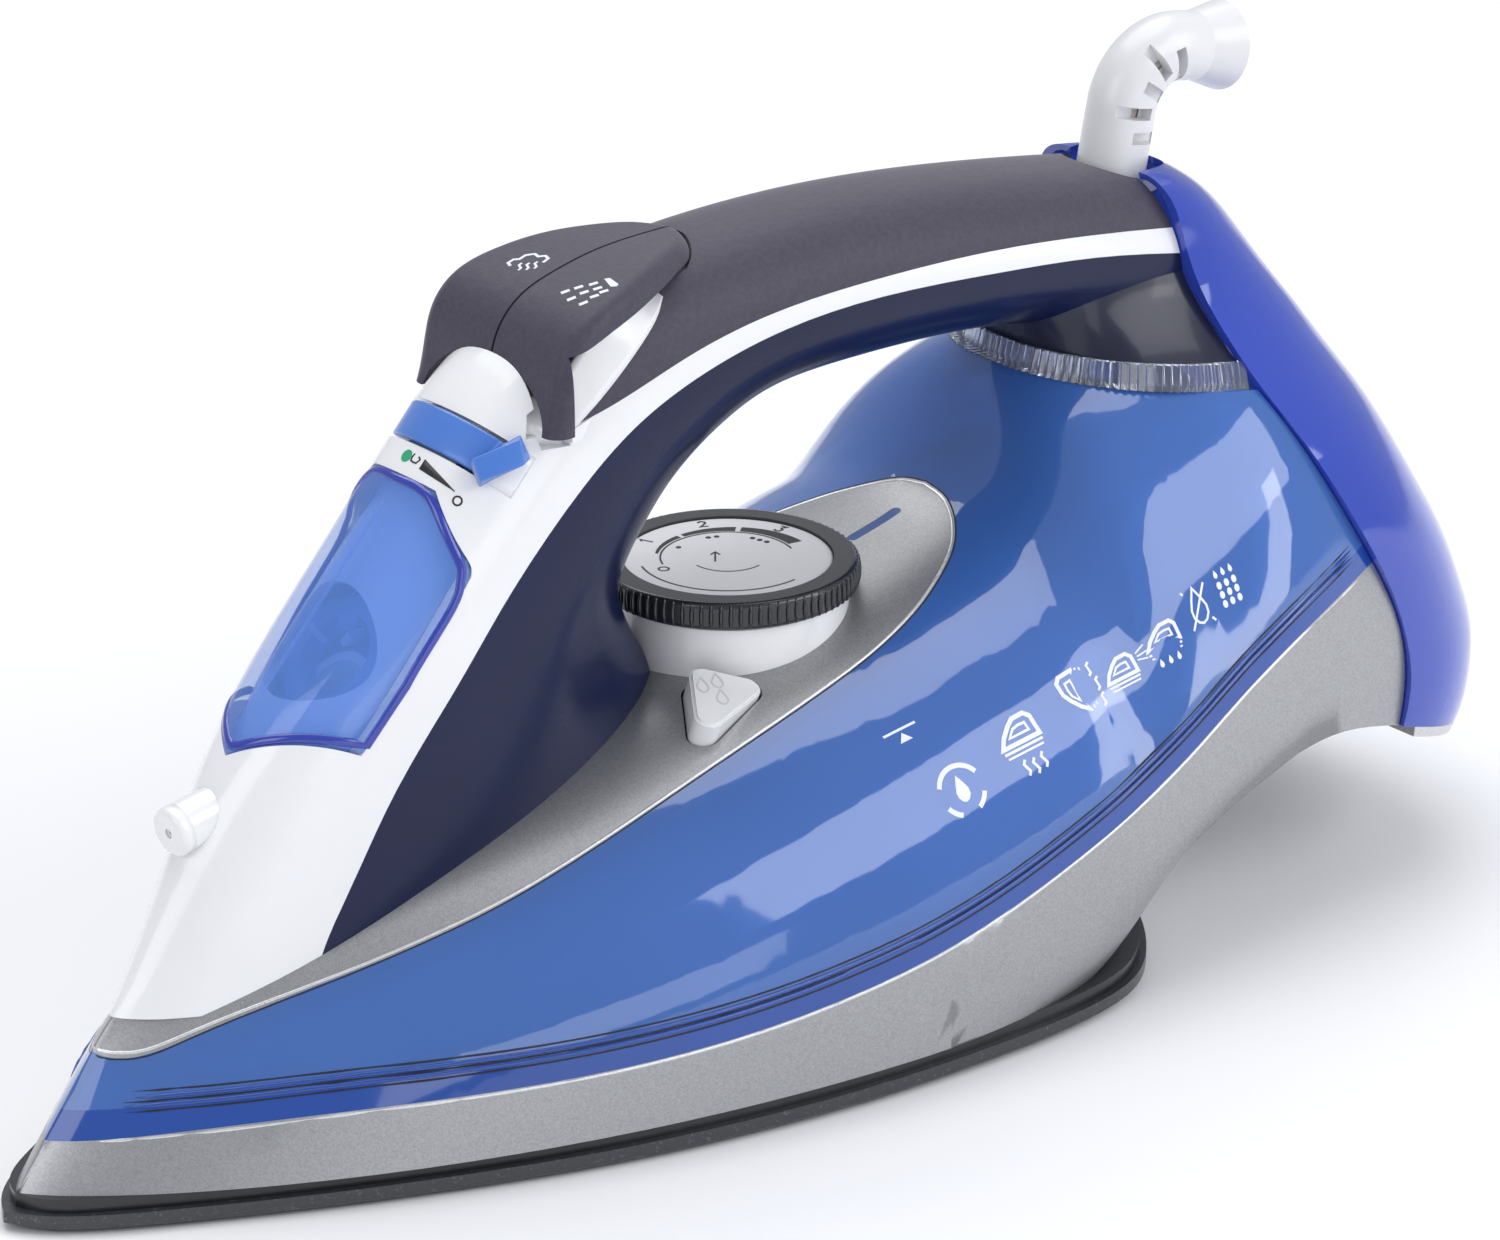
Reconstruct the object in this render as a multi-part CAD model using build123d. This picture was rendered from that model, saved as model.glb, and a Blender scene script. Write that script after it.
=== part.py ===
from build123d import *
import os
from math import pi, sin, cos, tan, radians, degrees, atan2, hypot

# ---------------------------------------------------------------- sizes, mm
LENGTH = 310.0            # nose to the back of the heel
NOSE_X = -155.0           # nose toward -X, heel toward +X
HEEL_X = NOSE_X + LENGTH
WIDEST_X = 12.0           # station of the widest point of the body
HALF_WIDTH = 58.0         # half of the widest soleplate width
NOSE_SLOPE = 1.285        # rise of the nose edge per mm toward the heel
SOLE_THICK = 3.2          # pressing plate
BAND_TOP = 5.6            # top of the dark band, where the skirt starts
SOLE_REAR = 78.0          # back edge of the soleplate
WALL = 2.4                # plain housing wall
SKIN = 2.2                # thickness of the silver top panel
TANK_IN = 4.6             # from the outer face to the water space
HANDLE_HALF = 17.4        # half width of the hand grip
HANDLE_WALL = 3.0
DIAL_X, DIAL_Z = -1.2, 73.4   # axis and underside of the turning dial
DIAL_R = 22.4             # ribbed ring, outer radius
DISC_R = 18.2             # white dial face
SHAFT_R = 3.0
STEAM_HOLE_R = 1.3
VALVE_X = -58.0           # vertical steam rod
ROD_R = 2.0
NOZZLE_R = 4.3
GUARD_AXIS = (0.20, 0.0, 0.98)
GUARD_BASE = (86.0, 0.0, 126.0)
FIT = 0.05                # running clearance of shafts, radial
GAP = 0.4                 # clearance between moving pieces

os.makedirs("parts", exist_ok=True)
PARTS = {}


def keep(name, shape):
    shape = shape if isinstance(shape, (Solid, Compound)) else Compound(shape)
    sol = [s for s in shape.solids() if s.volume > 0.5]
    shape = sol[0] if len(sol) == 1 else Compound(sol)
    shape.label = name
    PARTS[name] = shape
    export_step(shape, "parts/%s.step" % name)
    bb = shape.bounding_box()
    if not shape.is_valid:
        print("  NOT VALID", name)
    print("%-22s solids %d  vol %9.1f  x %7.1f %7.1f  y %6.1f %6.1f  z %6.1f %6.1f"
          % (name, len(sol), shape.volume, bb.min.X, bb.max.X, bb.min.Y, bb.max.Y, bb.min.Z, bb.max.Z), flush=True)


# ---------------------------------------------------------------- curves
def lerp_table(tab, x):
    """Smooth (monotone cubic) reading of a table of (x, value)."""
    n = len(tab)
    if x <= tab[0][0]:
        return tab[0][1]
    if x >= tab[-1][0]:
        return tab[-1][1]
    d = [(tab[i + 1][1] - tab[i][1]) / (tab[i + 1][0] - tab[i][0]) for i in range(n - 1)]
    m = [d[0]] + [0.0 if d[i - 1] * d[i] <= 0 else 2 * d[i - 1] * d[i] / (d[i - 1] + d[i])
                  for i in range(1, n - 1)] + [d[-1]]
    i = max(j for j in range(n - 1) if tab[j][0] <= x)
    h = tab[i + 1][0] - tab[i][0]
    t = (x - tab[i][0]) / h
    return ((2 * t**3 - 3 * t**2 + 1) * tab[i][1] + (t**3 - 2 * t**2 + t) * h * m[i]
            + (-2 * t**3 + 3 * t**2) * tab[i + 1][1] + (t**3 - t**2) * h * m[i + 1])


TOP = [(-160, 27), (-131, 35), (-100, 42.5), (-56, 54), (-30, 61.5), (-11, 66.5), (6, 70), (20, 72.8),
       (30, 75), (38, 77.2), (44, 80.5), (50, 88), (58, 98.5), (66, 103), (76, 105), (92, 106), (130, 105.5)]
WAIST = [(-160, 15), (-20, 17), (40, 28), (80, 38), (130, 42)]
ROUND = [(-160, 2.3), (0, 2.4), (38, 2.4), (50, 2.05), (66, 2.0), (84, 2.25), (130, 2.4)]


def plan_half(x):
    if x < WIDEST_X:
        t = min(max((WIDEST_X - x) / (WIDEST_X - NOSE_X), 0), 1)
        return HALF_WIDTH * max(1 - t**1.9, 0)**0.8
    return HALF_WIDTH - (HALF_WIDTH - 47.5) * ((x - WIDEST_X) / (118 - WIDEST_X))**1.7


def body_half(x, z):
    n = NOSE_X + max(z - 2, 0) / NOSE_SLOPE
    if x <= n:
        return 0.0
    xh = NOSE_X + (x - n) * (WIDEST_X - NOSE_X) / (WIDEST_X - n) if x < WIDEST_X else x
    z0, h, p = lerp_table(WAIST, x), lerp_table(TOP, x), lerp_table(ROUND, x)
    d = min(max((z - z0) / (h - z0), 0), 1)
    return plan_half(xh) * max(1 - d**p, 0)**(1 / p)


def body_section(x, inset, count=23):
    """Closed cross-section of the body at one station, drawn in from the outside by inset."""
    top = min(lerp_table(TOP, x), 2 + NOSE_SLOPE * (x - NOSE_X))
    raw = []
    for i in range(401):
        z = top * sin(i / 400 * pi / 2)
        raw.append((body_half(x, z), z))
    raw[-1] = (0.0, top)
    half = max(a for a, b in raw)
    f = max(half - inset, 0.3) / half
    g = max(top - inset * 1.02, 0.5) / top
    raw = [(a * f, b * g) for a, b in raw]
    W, H = raw[0][0], raw[-1][1]
    s = [0.0]
    for (a, b), (c, d) in zip(raw, raw[1:]):
        s.append(s[-1] + hypot((c - a) / W, (d - b) / H))
    out, j = [], 0
    for k in range(count):
        q = s[-1] * k / (count - 1)
        while j < len(s) - 2 and s[j + 1] < q:
            j += 1
        t = (q - s[j]) / (s[j + 1] - s[j])
        out.append((raw[j][0] + t * (raw[j + 1][0] - raw[j][0]), raw[j][1] + t * (raw[j + 1][1] - raw[j][1])))
    left = [Vector(x, -a, b) for a, b in out]
    right = [Vector(x, a, b) for a, b in reversed(out[:-1])]
    pts = left + right
    n = len(pts)
    arch = Edge.make_spline(pts, parameters=[i / (n - 1) for i in range(n)])
    return Wire([arch, Edge.make_line(pts[-1], pts[0])])


def body(inset, x_start=-154.0, x_end=130.0):
    xs = [x_start] + [v for v in (-151, -147, -141, -133, -123, -110, -95, -77, -57, -37, -17, 2, 18, 30, 38,
                                  44, 50, 58, 67, 80, 98, 114) if v > x_start + 1.5 and v < x_end - 3] + [x_end]
    return Solid.make_loft([body_section(x, inset) for x in xs])


def zone(curve, corners, half=90.0):
    """Side-view region: a smooth curve closed by straight lines, carried through the full width."""
    a = Spline(*[(p[0], p[1]) for p in curve])
    pts = [curve[-1]] + corners + [curve[0]]
    b = Polyline(*pts)
    sk = Face(Wire([a.edge()] + list(b.edges())))
    return extrude(Plane.XZ * sk, amount=half, both=True)


def poly(pts, half=90.0):
    return extrude(Plane.XZ * Face(Wire(Polyline(*pts, close=True).edges())), amount=half, both=True)


def up(face, h):
    """Raise a flat face straight up by h."""
    return extrude(face, amount=h, dir=(0, 0, 1))


def leaf(half):
    """Flat outline from a half outline that starts and ends on the centre line, sharp at the start only."""
    e = Spline(*(half + [(x, -y) for x, y in reversed(half[:-1])]))
    return Face(Wire([e.edge()]))


def common(a, b):
    """Intersection, taken as a cut against the rest of space when the direct form comes back empty."""
    a = a if isinstance(a, Solid) else Compound(a.solids())
    q = a & b
    if q is None or not q.solids():
        q = a - (Box(700, 400, 700) - b)
    return Compound(q.solids())


def biggest(a):
    return max(a.solids(), key=lambda q: q.volume)


def cyl(p, axis, r, h):
    """Cylinder from point p along axis."""
    return Solid.make_cylinder(r, h, Plane(origin=p, z_dir=axis))


def box(x0, x1, y0, y1, z0, z1):
    return Pos((x0 + x1) / 2, (y0 + y1) / 2, (z0 + z1) / 2) * Box(x1 - x0, y1 - y0, z1 - z0)


def tube(pts, r):
    path = Edge.make_spline([Vector(*p) for p in pts])
    t = path % 0
    return Solid(sweep(Plane(origin=path @ 0, z_dir=t) * Circle(r), path=path).solids()[0].wrapped)


# ---------------------------------------------------------------- side-view seam lines
SEAM_SKIRT = [(-160, 12.6), (-146.2, 13.2), (-128, 15.0), (-106.4, 16.3), (-88.9, 16.6), (-66.3, 17), (-44.4, 18.2),
              (-24, 20.4), (-2.1, 24.1), (22.2, 30.4), (48.9, 39.4), (73.9, 51.2), (90.3, 57.8), (108, 63), (135, 71)]
SEAM_REAR = [(83.5, 150), (84.6, 132), (88, 115), (92, 97), (96.3, 86.5), (104.9, 69), (110.9, 57.6), (115, 47.2),
             (116.5, 39.5), (115, 30), (108, 12), (98, -12)]
LEDGE = [(70, 33), (84, 34.2), (92, 34.8), (100, 34.2), (112, 31.2), (125, 27), (138, 22.6), (150, 19.6), (HEEL_X + 15, 15)]
DECK = [(-136.5, 0), (-134.6, 2.9), (-128.1, 7.8), (-111.6, 14.9), (-92.8, 21.4), (-72.8, 26.3), (-52.5, 28.6),
        (-27.2, 29.6), (-9.2, 29.4), (7.3, 27.8), (21.3, 24.2), (33.5, 18.2), (39.7, 12.5), (43, 6.5), (44, 0)]

print("body lofts", flush=True)
hull = body(0)
hull_wall = body(WALL)
hull_skin = body(SKIN)
hull_water = body(TANK_IN)


def shift(curve, dx, dz):
    return [(x + dx, z + dz) for x, z in curve]


above_skirt = zone(SEAM_SKIRT, [(135, 200), (-160, 200)])
below_skirt = zone(SEAM_SKIRT, [(135, -5), (-160, -5)])
rim_top = zone(shift(SEAM_SKIRT, 0, 4.2), [(135, 200), (-160, 200)])
water_floor = zone(shift(SEAM_SKIRT, 0, 2.8), [(135, 200), (-160, 200)])
before_rear = zone(SEAM_REAR, [(-170, -12), (-170, 150)])
before_rear_in = zone(shift(SEAM_REAR, -2.4, 0), [(-170, -12), (-170, 150)])
behind_rear = zone(shift(SEAM_REAR, 0.3, 0), [(200, -12), (200, 150)])
below_ring = poly([(-200, 131.9), (-200, -10), (200, -10), (200, 81.9)])
deck_plan = leaf(DECK)
deck_prism = up(deck_plan, 200)

# ---------------------------------------------------------------- soleplate group
SOLE_HALF = [(NOSE_X, 0), (-151.5, 5.4), (-144, 11.6), (-130, 19.5), (-112, 28.5), (-90, 38.0), (-66, 46.6),
             (-40, 53.0), (-12, 57.0), (14, 58), (34, 56.8), (47, 53), (57, 45), (66, 33), (74, 17), (SOLE_REAR, 0)]


def sole_face(inset, z):
    pts = []
    n = len(SOLE_HALF)
    for i, (x, y) in enumerate(SOLE_HALF):
        a = SOLE_HALF[max(i - 1, 0)]
        b = SOLE_HALF[min(i + 1, n - 1)]
        tx, ty = b[0] - a[0], b[1] - a[1]
        if i == 0:
            nx, ny, k = 1.0, 0.0, 1.9
        elif i == n - 1:
            nx, ny, k = -1.0, 0.0, 1.0
        else:
            L = hypot(tx, ty)
            nx, ny, k = ty / L, -tx / L, 1.0
        yy = max(y + ny * inset * k, 0)
        pts.append((x + nx * inset * k, yy if 0 < i < n - 1 else 0.0))
    good = [pts[0]] + [p for p in pts[1:-1] if p[1] > 0.8 and p[0] > pts[0][0] + 1.0] + [pts[-1]]
    return Pos(0, 0, z) * leaf(good)


print("sole", flush=True)
plate = up(sole_face(0, 1.0), SOLE_THICK - 1.0)
rim = loft([sole_face(1.3, 0), sole_face(0, 1.0)])
sole = plate + rim
holes = []
for x, y in [(-138, 0), (-126, 7), (-112, 14.5), (-96, 21.5), (-78, 28), (-58, 34), (-38, 38.5), (-18, 41), (4, 42),
             (-118, 0), (-100, 8), (-82, 15), (-62, 20.5), (-40, 24)]:
    for s in ((1, -1) if y else (1,)):
        holes.append(Pos(x, y * s, 0) * Cylinder(STEAM_HOLE_R, 30))
sole = sole - holes
keep("soleplate", sole)

casting = up(sole_face(7.0, SOLE_THICK), 8.0)
chamber = up(sole_face(24.0, 6.2), 20.0)
chamber = chamber - box(-8, 100, -70, 70, 0, 60)
element_path = [(62, -20, 11.2), (54, -27, 11.2), (30, -38, 11.2), (-10, -40.5, 11.2), (-50, -34.5, 11.2), (-90, -22.5, 11.2),
                (-118, -7.5, 11.2), (-124, 0, 11.2), (-118, 7.5, 11.2), (-90, 22.5, 11.2), (-50, 34.5, 11.2), (-10, 40.5, 11.2),
                (30, 38, 11.2), (54, 27, 11.2), (62, 20, 11.2)]
element = tube(element_path, 3.4)
pins = [cyl((62, s * 20, 11.2), (0.85, -0.4 * s, 0.3), 2.0, 9) for s in (-1, 1)]
casting = casting - chamber - element - [h for h in holes] - pins
keep("sole_casting", casting)
keep("heating_element", element + pins)
cover_plate = up(sole_face(21.5, 11.2), 1.2) - box(-6, 100, -70, 70, 0, 60)
cover_plate = cover_plate - element - Pos(VALVE_X, 0, 12) * Cylinder(4.0, 6)
keep("steam_chamber_cover", cover_plate)
band = up(sole_face(1.3, SOLE_THICK), BAND_TOP - SOLE_THICK) - up(sole_face(6.4, 0), 20)
keep("sole_band", band)

# ---------------------------------------------------------------- silver skirt
print("skirt", flush=True)


def keel(inset, z_lift=0.0):
    """Rear under-body: plan outlines that grow with height."""
    rings = []
    for z, xr, yc, xc in ((BAND_TOP - 0.01, 76.5, 52.0, 46.0), (15, 83, 54, 54), (24, 92, 55, 63), (31, 106, 56, 76),
                          (36.5, 128, 58, 92)):
        a = inset
        pts = [(-20, yc + 5 - a), (xc - 30 - a, yc + 4 - a), (xc - 8 - a, yc - a), (xc + 5 - a, yc * .84 - a),
               (xr - 7 - a, yc * .45 - a * .6), (xr - a, 0)]
        e = Spline(*(pts + [(x, -y) for x, y in reversed(pts[:-1])]))
        rings.append(Pos(0, 0, z + z_lift) * Face(Wire([e.edge(), Edge.make_line((-20, -(yc + 5 - a), 0),
                                                                                (-20, yc + 5 - a, 0))])))
    return loft(rings)


front_low = box(-170, 0, -80, 80, BAND_TOP, 80)
upper = zone(LEDGE, [(170, 90), (70, 90)]) + box(-10, 80, -80, 80, 36.4, 90)
skirt_space = front_low + keel(0) + upper
upper_in = zone(shift(LEDGE, 0, WALL), [(170, 90), (70, 90)]) + box(-10, 80, -80, 80, 36.6, 90)
skirt_space_in = box(-170, 0.01, -80, 80, -5, 80) + keel(WALL) + upper_in + box(-20, 48, -44, 44, -5, 12)
skirt = (hull & skirt_space & below_skirt & before_rear) - (hull_wall & skirt_space_in)
skirt = Compound(skirt.solids()) - up(sole_face(6.4, 0), 8) - box(-200, 200, -100, 100, -5, BAND_TOP)

# ---------------------------------------------------------------- water tank, rim, silver top panel
print("tank", flush=True)
tank_zone = hull & above_skirt & before_rear & below_ring
deck = (Compound(tank_zone.solids()) - hull_skin) & deck_prism
deck = Compound([s for s in deck.solids() if s.center().Z > 30])
tank = Compound(tank_zone.solids()) - deck
water = hull_water & water_floor & before_rear_in
tank = tank - water
rim_zone = Compound((Compound(tank_zone.solids()) - rim_top).solids())
tank_rim = rim_zone - hull_wall
tank = tank - tank_rim
tank = max(tank.solids(), key=lambda s: s.volume)

# upright bores through the tank, each with its own tube through the water space
CLEAN_AX = (0.0, -0.36, 0.933)
CLEAN_P = (-20.5, -21.2, 61.5)
dial_bore = cyl((DIAL_X, 0, 0), (0, 0, 1), SHAFT_R + 1.0, 90)
rod_bore = cyl((VALVE_X, 0, 14.5), (0, 0, 1), ROD_R + 1.0, 60)
fill_bore = cyl((-84, 0, 30), (0, 0, 1), 8.2, 40)
tank = tank + (cyl((DIAL_X, 0, 10), (0, 0, 1), 6.5, 70) & water) + (cyl((VALVE_X, 0, 10), (0, 0, 1), 5.5, 60) & water)
tank = tank - dial_bore - rod_bore - fill_bore
clean_dir = Vector(*CLEAN_AX)
clean_in = Vector(*CLEAN_P) - clean_dir * 16
clean_bore = cyl(tuple(clean_in), CLEAN_AX, 3.4, 40)
tank = tank - clean_bore
keep("tank_rim", tank_rim)

# ---------------------------------------------------------------- handle: one curved loft, split by side-view seams
print("handle", flush=True)
RIBS = [  # outer point, inner point, half width over the grip's, front pointedness, rear pointedness
    ((-139, 22.5), (-15, 50), -0.8, 1.45, 1.25),
    ((-131, 33), (-18.5, 62), -0.4, 1.4, 1.2),
    ((-124, 45), (-23, 70), 0.0, 1.25, 1.1),
    ((-113, 64), (-26.5, 76), 0.4, 1.05, 1.0),
    ((-101.5, 78.5), (-28.5, 81.5), 0.8, .88, 1.0),
    ((-86, 95), (-28.2, 86.5), 1.0, .8, 1.0),
    ((-71, 111.3), (-25.5, 91.5), 1.0, .8, 1.0),
    ((-60.5, 121.5), (-21, 97.5), 1.0, .8, .95),
    ((-47, 130.5), (-15.5, 102.5), 1.0, .8, .9),
    ((-27, 137.6), (-8, 106.8), 0.6, .8, .9),
    ((-5, 139.9), (1, 109.8), 0.2, .8, .9),
    ((20, 139.7), (20, 110.7), 0.0, .8, .9),
    ((45, 137.4), (43, 109.8), 0.0, .8, .9),
    ((66, 134.4), (62, 107), 0.0, .8, .9),
    ((93, 129.6), (88, 101), 0.0, .8, .9),
    ((118, 124.8), (113, 96.2), 0.0, .8, .9),      # runs past the rear seam, which trims it
]
RIBS = [(outer, inner, HANDLE_HALF + more, *points) for outer, inner, more, *points in RIBS]


def rib(o, i, w, pf, pr, inset=0.0, count=12):
    """Closed cross-section of the handle in the plane through its outer and inner points."""
    dx, dz = i[0] - o[0], i[1] - o[1]
    L = hypot(dx, dz)
    ux, uz = dx / L, dz / L
    o = (o[0] + ux * inset, o[1] + uz * inset)
    L, w = L - 2 * inset, w - inset
    pts = []
    for k in range(2 * count):
        a = pi * k / count
        c, s = cos(a), sin(a)
        u = 0.5 - 0.5 * (abs(c)**0.9) * (1 if c > 0 else -1)
        p = pf if c > 0 else pr
        p = pf * max(c, 0)**0.5 + pr * max(-c, 0)**0.5 + 0.9 * (1 - abs(c)**0.5)
        y = w * abs(s)**p * (1 if s > 0 else -1)
        pts.append(Vector(o[0] + ux * u * L, -y, o[1] + uz * u * L))
    par = [k / count for k in range(count + 1)]
    return Wire([Edge.make_spline(pts[:count + 1], parameters=par),
                 Edge.make_spline(pts[count:] + pts[:1], parameters=par)])


grip_body = Solid.make_loft([rib(*r) for r in RIBS])
print("  outer", grip_body.is_valid, round(grip_body.volume))
grip_in = Solid.make_loft([rib(*r, inset=HANDLE_WALL) for r in RIBS])
print("  inner", grip_in.is_valid, round(grip_in.volume))

WHITE_NAVY = [(-106, 24), (-102, 34), (-99.3, 41), (-95.5, 48), (-87, 62.5), (-73, 80.5), (-64, 91.5), (-58, 98),
              (-48, 107.4), (-36, 116), (-20, 122), (-1, 125.2), (19, 125.7), (45, 123.9), (66.5, 121.6), (100, 115)]
GRIP_LOW = [(-56, 117.2), (-49, 118.2), (-40.5, 120.4), (-24.5, 125.2), (-9, 128), (15.5, 129), (45.5, 127.8), (70, 125),
            (100, 120)]
navy_zone = zone(WHITE_NAVY + [(125, 110)], [(125, -20), (-106, -20)])
grip_zone = zone(shift(GRIP_LOW, 0, 0.0), [(100, 160), (-12, 160), (-21.5, 139.6), (-36, 131.6), (-45, 126.4), (-54.5, 120.8)])
all_rear = zone(SEAM_REAR, [(200, -12), (200, 150)])
shell = Compound((((grip_body - grip_in) - all_rear) - hull).solids())
print("  shell", [round(q.volume) for q in shell.solids()])
shell = biggest(shell)
guard_ax = Vector(*GUARD_AXIS).normalized()
gb = Vector(*GUARD_BASE)
guard_bore = Solid.make_cylinder(9.0, 40, Plane(origin=gb - guard_ax * 3.0, z_dir=guard_ax))

# trigger caps: side profile, plan outline, rounded cross-section
CAP_OUT = [(-20.5, 141.0), (-30, 140.4), (-39, 138.6), (-46.5, 135.6), (-50.6, 131), (-52.4, 125), (-54.2, 117.8)]
CAP_IN = [(-20.5, 138.9), (-30, 138.2), (-38.5, 136.4), (-44.6, 133.6), (-48.6, 129.6), (-50.5, 124.5), (-52.4, 117.8)]
CAP_PLAN = [(-12.0, 0), (-12.8, 3), (-15.5, 7.2), (-22, 11.4), (-30, 15), (-40, 18), (-48, 19.3), (-53, 19.6), (-57, 19.6)]
CAP_PLAN = [(x, y * HANDLE_HALF / 17.4) for x, y in CAP_PLAN]     # the caps are as wide as the grip they cover


def cap_region(curve, low, inset, lift=0.0, radius=6.0):
    """Everything under a side profile, inside the cap's plan outline, with rounded top edges."""
    first, last = curve[0], curve[-1]
    pts = [(-8, first[1] + 0.1)] + list(curve)
    pts = shift(pts, 0, lift)
    a = Spline(*pts)
    b = Polyline(pts[-1], (pts[-1][0] + 0.6 + inset * 0, low), (-8, low), pts[0])
    prof = extrude(Plane.XZ * Face(Wire([a.edge()] + list(b.edges()))), amount=40, both=True)
    plan = [(x - inset * 0.5, max(y - inset, 0)) for x, y in CAP_PLAN[1:]]
    pl = [(CAP_PLAN[0][0] - inset, 0)] + plan
    e = Spline(*([(x, -y) for x, y in reversed(pl)] + pl[1:]))
    pf = Face(Wire([e.edge(), Edge.make_line(e @ 1, e @ 0)]))
    return prof & up(Pos(0, 0, low - 1) * pf, 60)


print("triggers", flush=True)
cap_out = cap_region(CAP_OUT, 110, 0)
edges = [e for e in cap_out.edges() if e.center().Z > 131 and e.length > 20 and abs(e.center().Y) > 6]
try:
    cap_out = cap_out.fillet(3.0, edges)
except Exception as err:
    print("  cap fillet skipped", err)
cap_in = cap_region(CAP_IN, 109, 1.2)
skirt_line = poly([(-60, 117.8), (-49.9, 117.8), (-49.9, 131.2), (-41, 133.6), (-30, 135.9), (-20.5, 137.6), (-8, 138.0),
                   (-8, 160), (-60, 160)])
arch = extrude(Plane.YZ.offset(-70) * Pos(0, 116.2) * Ellipse(16.2, 11.2), amount=24)
caps = ((cap_out & skirt_line) - cap_in) - arch
rear_cut = cyl((-20.0, -30, 139), (0, 1, 0), 0.01, 60)
left_cap = caps & box(-80, 0, -30, -0.25, 100, 160)
right_cap = caps & box(-80, 0, 0.25, 30, 100, 160)
# insert block under the caps, and the space the caps need while they travel
seat_block = cap_region(shift(CAP_IN, 1.0, -2.6), 108, 1.7) & box(-49.0, 0, -30, 30, 100, 160)
cap_space = cap_region(CAP_OUT, 108, -0.4, 0.4) & (box(-55.6, -49.0, -30, 30, 115.4, 160)
            + poly([(-56, 129.4), (-49.0, 127.8), (-41, 130.8), (-30, 134.4), (-20.5, 137.0), (-7.5, 137.4), (-7.5, 160), (-56, 160)]))

# lid on the sloping front
LID_D = Vector(0.654, 0, 0.757)
LID_N = Vector(-0.757, 0, 0.654)
LID_C = Vector(-89.5, 0, 91.3)
lid_plane = Plane(origin=LID_C - LID_N * 11.5, x_dir=LID_D, z_dir=LID_N)
LID_PTS = [(26.5, 8.0), (19.0, 15.6), (12.5, 17.0), (-15.0, 16.6)]


def lid_prism(grow, top=26.5):
    g = grow
    pts = [(top + g, 8 + g * .4), (19 + g * .7, 15.6 + g * .7), (12.5, 17 + g), (-15 - g, 16.6 + g * .8), (-27.2 - g, 0),
           (-15 - g, -16.6 - g * .8), (12.5, -17 - g), (19 + g * .7, -15.6 - g * .7), (top + g, -8 - g * .4)]
    f = Face(Wire(Polyline(*pts, close=True).edges()))
    f = f.fillet_2d(2.5, [v for v in f.vertices() if abs(v.X) < 26])
    return extrude(lid_plane * f, amount=60)


lid = common(common(shell, lid_prism(0)), box(-140, -55, -30, 30, 50, 130))
lid = biggest(lid)

# steam slider: a curved band that turns about the column
SL_D = Vector(0.68, 0, 0.733).normalized()
SL_C = Vector(-52.5, 0, 106.4)
sl_plane = Plane(origin=SL_C, x_dir=(-SL_D.Z, 0, SL_D.X), z_dir=SL_D)   # local x points out of the front


def ring_sector(r0, r1, h, a0, a1):
    pts = [(0, 0)] + [(60 * cos(radians(a)), 60 * sin(radians(a))) for a in
                      [a0 + (a1 - a0) * k / 8 for k in range(9)]]
    wedge = extrude(sl_plane * Face(Wire(Polyline(*pts, close=True).edges())), amount=h, both=True)
    ring = extrude(sl_plane * Circle(r1), amount=h, both=True) - extrude(sl_plane * Circle(r0), amount=h + 1, both=True)
    return ring & wedge


SIDE = 1 if (sl_plane.y_dir.Y < 0) else -1     # local angle sign that leads to the left side
band_c = ring_sector(14.9, 17.4, 3.4, -34 if SIDE > 0 else -62, 62 if SIDE > 0 else 34)
FIN_AT = 42.0             # finger tab, degrees round the column from the front
fin_out = sl_plane.x_dir * cos(radians(FIN_AT)) + sl_plane.y_dir * (SIDE * sin(radians(FIN_AT)))
fin_plane = Plane(origin=SL_C, x_dir=fin_out, z_dir=SL_D)
stem = extrude(fin_plane * Pos(18.8, 0) * Rectangle(5.6, 4.6), amount=3.4, both=True)
head = fin_plane.location * Pos(22.2, 0, 1.5) * Rot(-26.0 * SIDE, 0, 0) * extrude(RectangleRounded(5.0, 3.8, 1.2), amount=6.0, both=True)
slot = ring_sector(14.4, 30, 3.9, -89 if SIDE > 0 else -65, 65 if SIDE > 0 else 89)
slider = Compound((band_c + stem + head).solids())

# nozzle
NZ_AX = Vector(-0.985, 0, -0.17).normalized()
nz0 = Vector(-106, 0, 62.6)
nozzle = Solid.make_cylinder(NOZZLE_R, 14.0, Plane(origin=nz0, z_dir=NZ_AX))
nozzle = nozzle.chamfer(0.6, None, [e for e in nozzle.edges() if e.center().X < -118])
nozzle_cut = Solid.make_cylinder(NOZZLE_R + 0.02, 30.0, Plane(origin=nz0 - NZ_AX * 4, z_dir=NZ_AX))
nozzle = nozzle - Solid.make_cylinder(0.9, 20, Plane(origin=nz0 + NZ_AX * 6, z_dir=NZ_AX))

print("handle pieces", flush=True)
front = (shell - navy_zone) - grip_zone
plunger_bores = [cyl((-38, q * 7, 90), (0, 0, 1), 4.2, 60) for q in (-1, 1)]
front = biggest(biggest(front) - box(-170, -100, -60, 60, 0, 31.2))
seat = common(seat_block - common(seat_block, grip_zone), box(-49, -14, -30, 30, 116, 150))
seat = seat + common(common(seat_block, poly([(-49, 124.0), (-45, 126.4), (-36, 131.6), (-21.5, 139.6), (-21.5, 160),
                                              (-49, 160)])), box(-49, -14, -30, 30, 116, 150))
front = (front + seat) - plunger_bores
print("  front", [round(q.volume) for q in front.solids()])
front = ((front - cap_space) - slot) - lid_prism(0.4) - nozzle_cut
front = max(front.solids(), key=lambda q: q.volume)
keep("front_cover", front)
not_navy = zone(WHITE_NAVY + [(125, 110)], [(125, 200), (-200, 200), (-200, 24)])
navy = biggest(shell - not_navy)
keep("handle_lower", navy)
grip = (common(shell, grip_zone) - cap_space) - guard_bore - plunger_bores
grip = max(grip.solids(), key=lambda q: q.volume)
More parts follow.
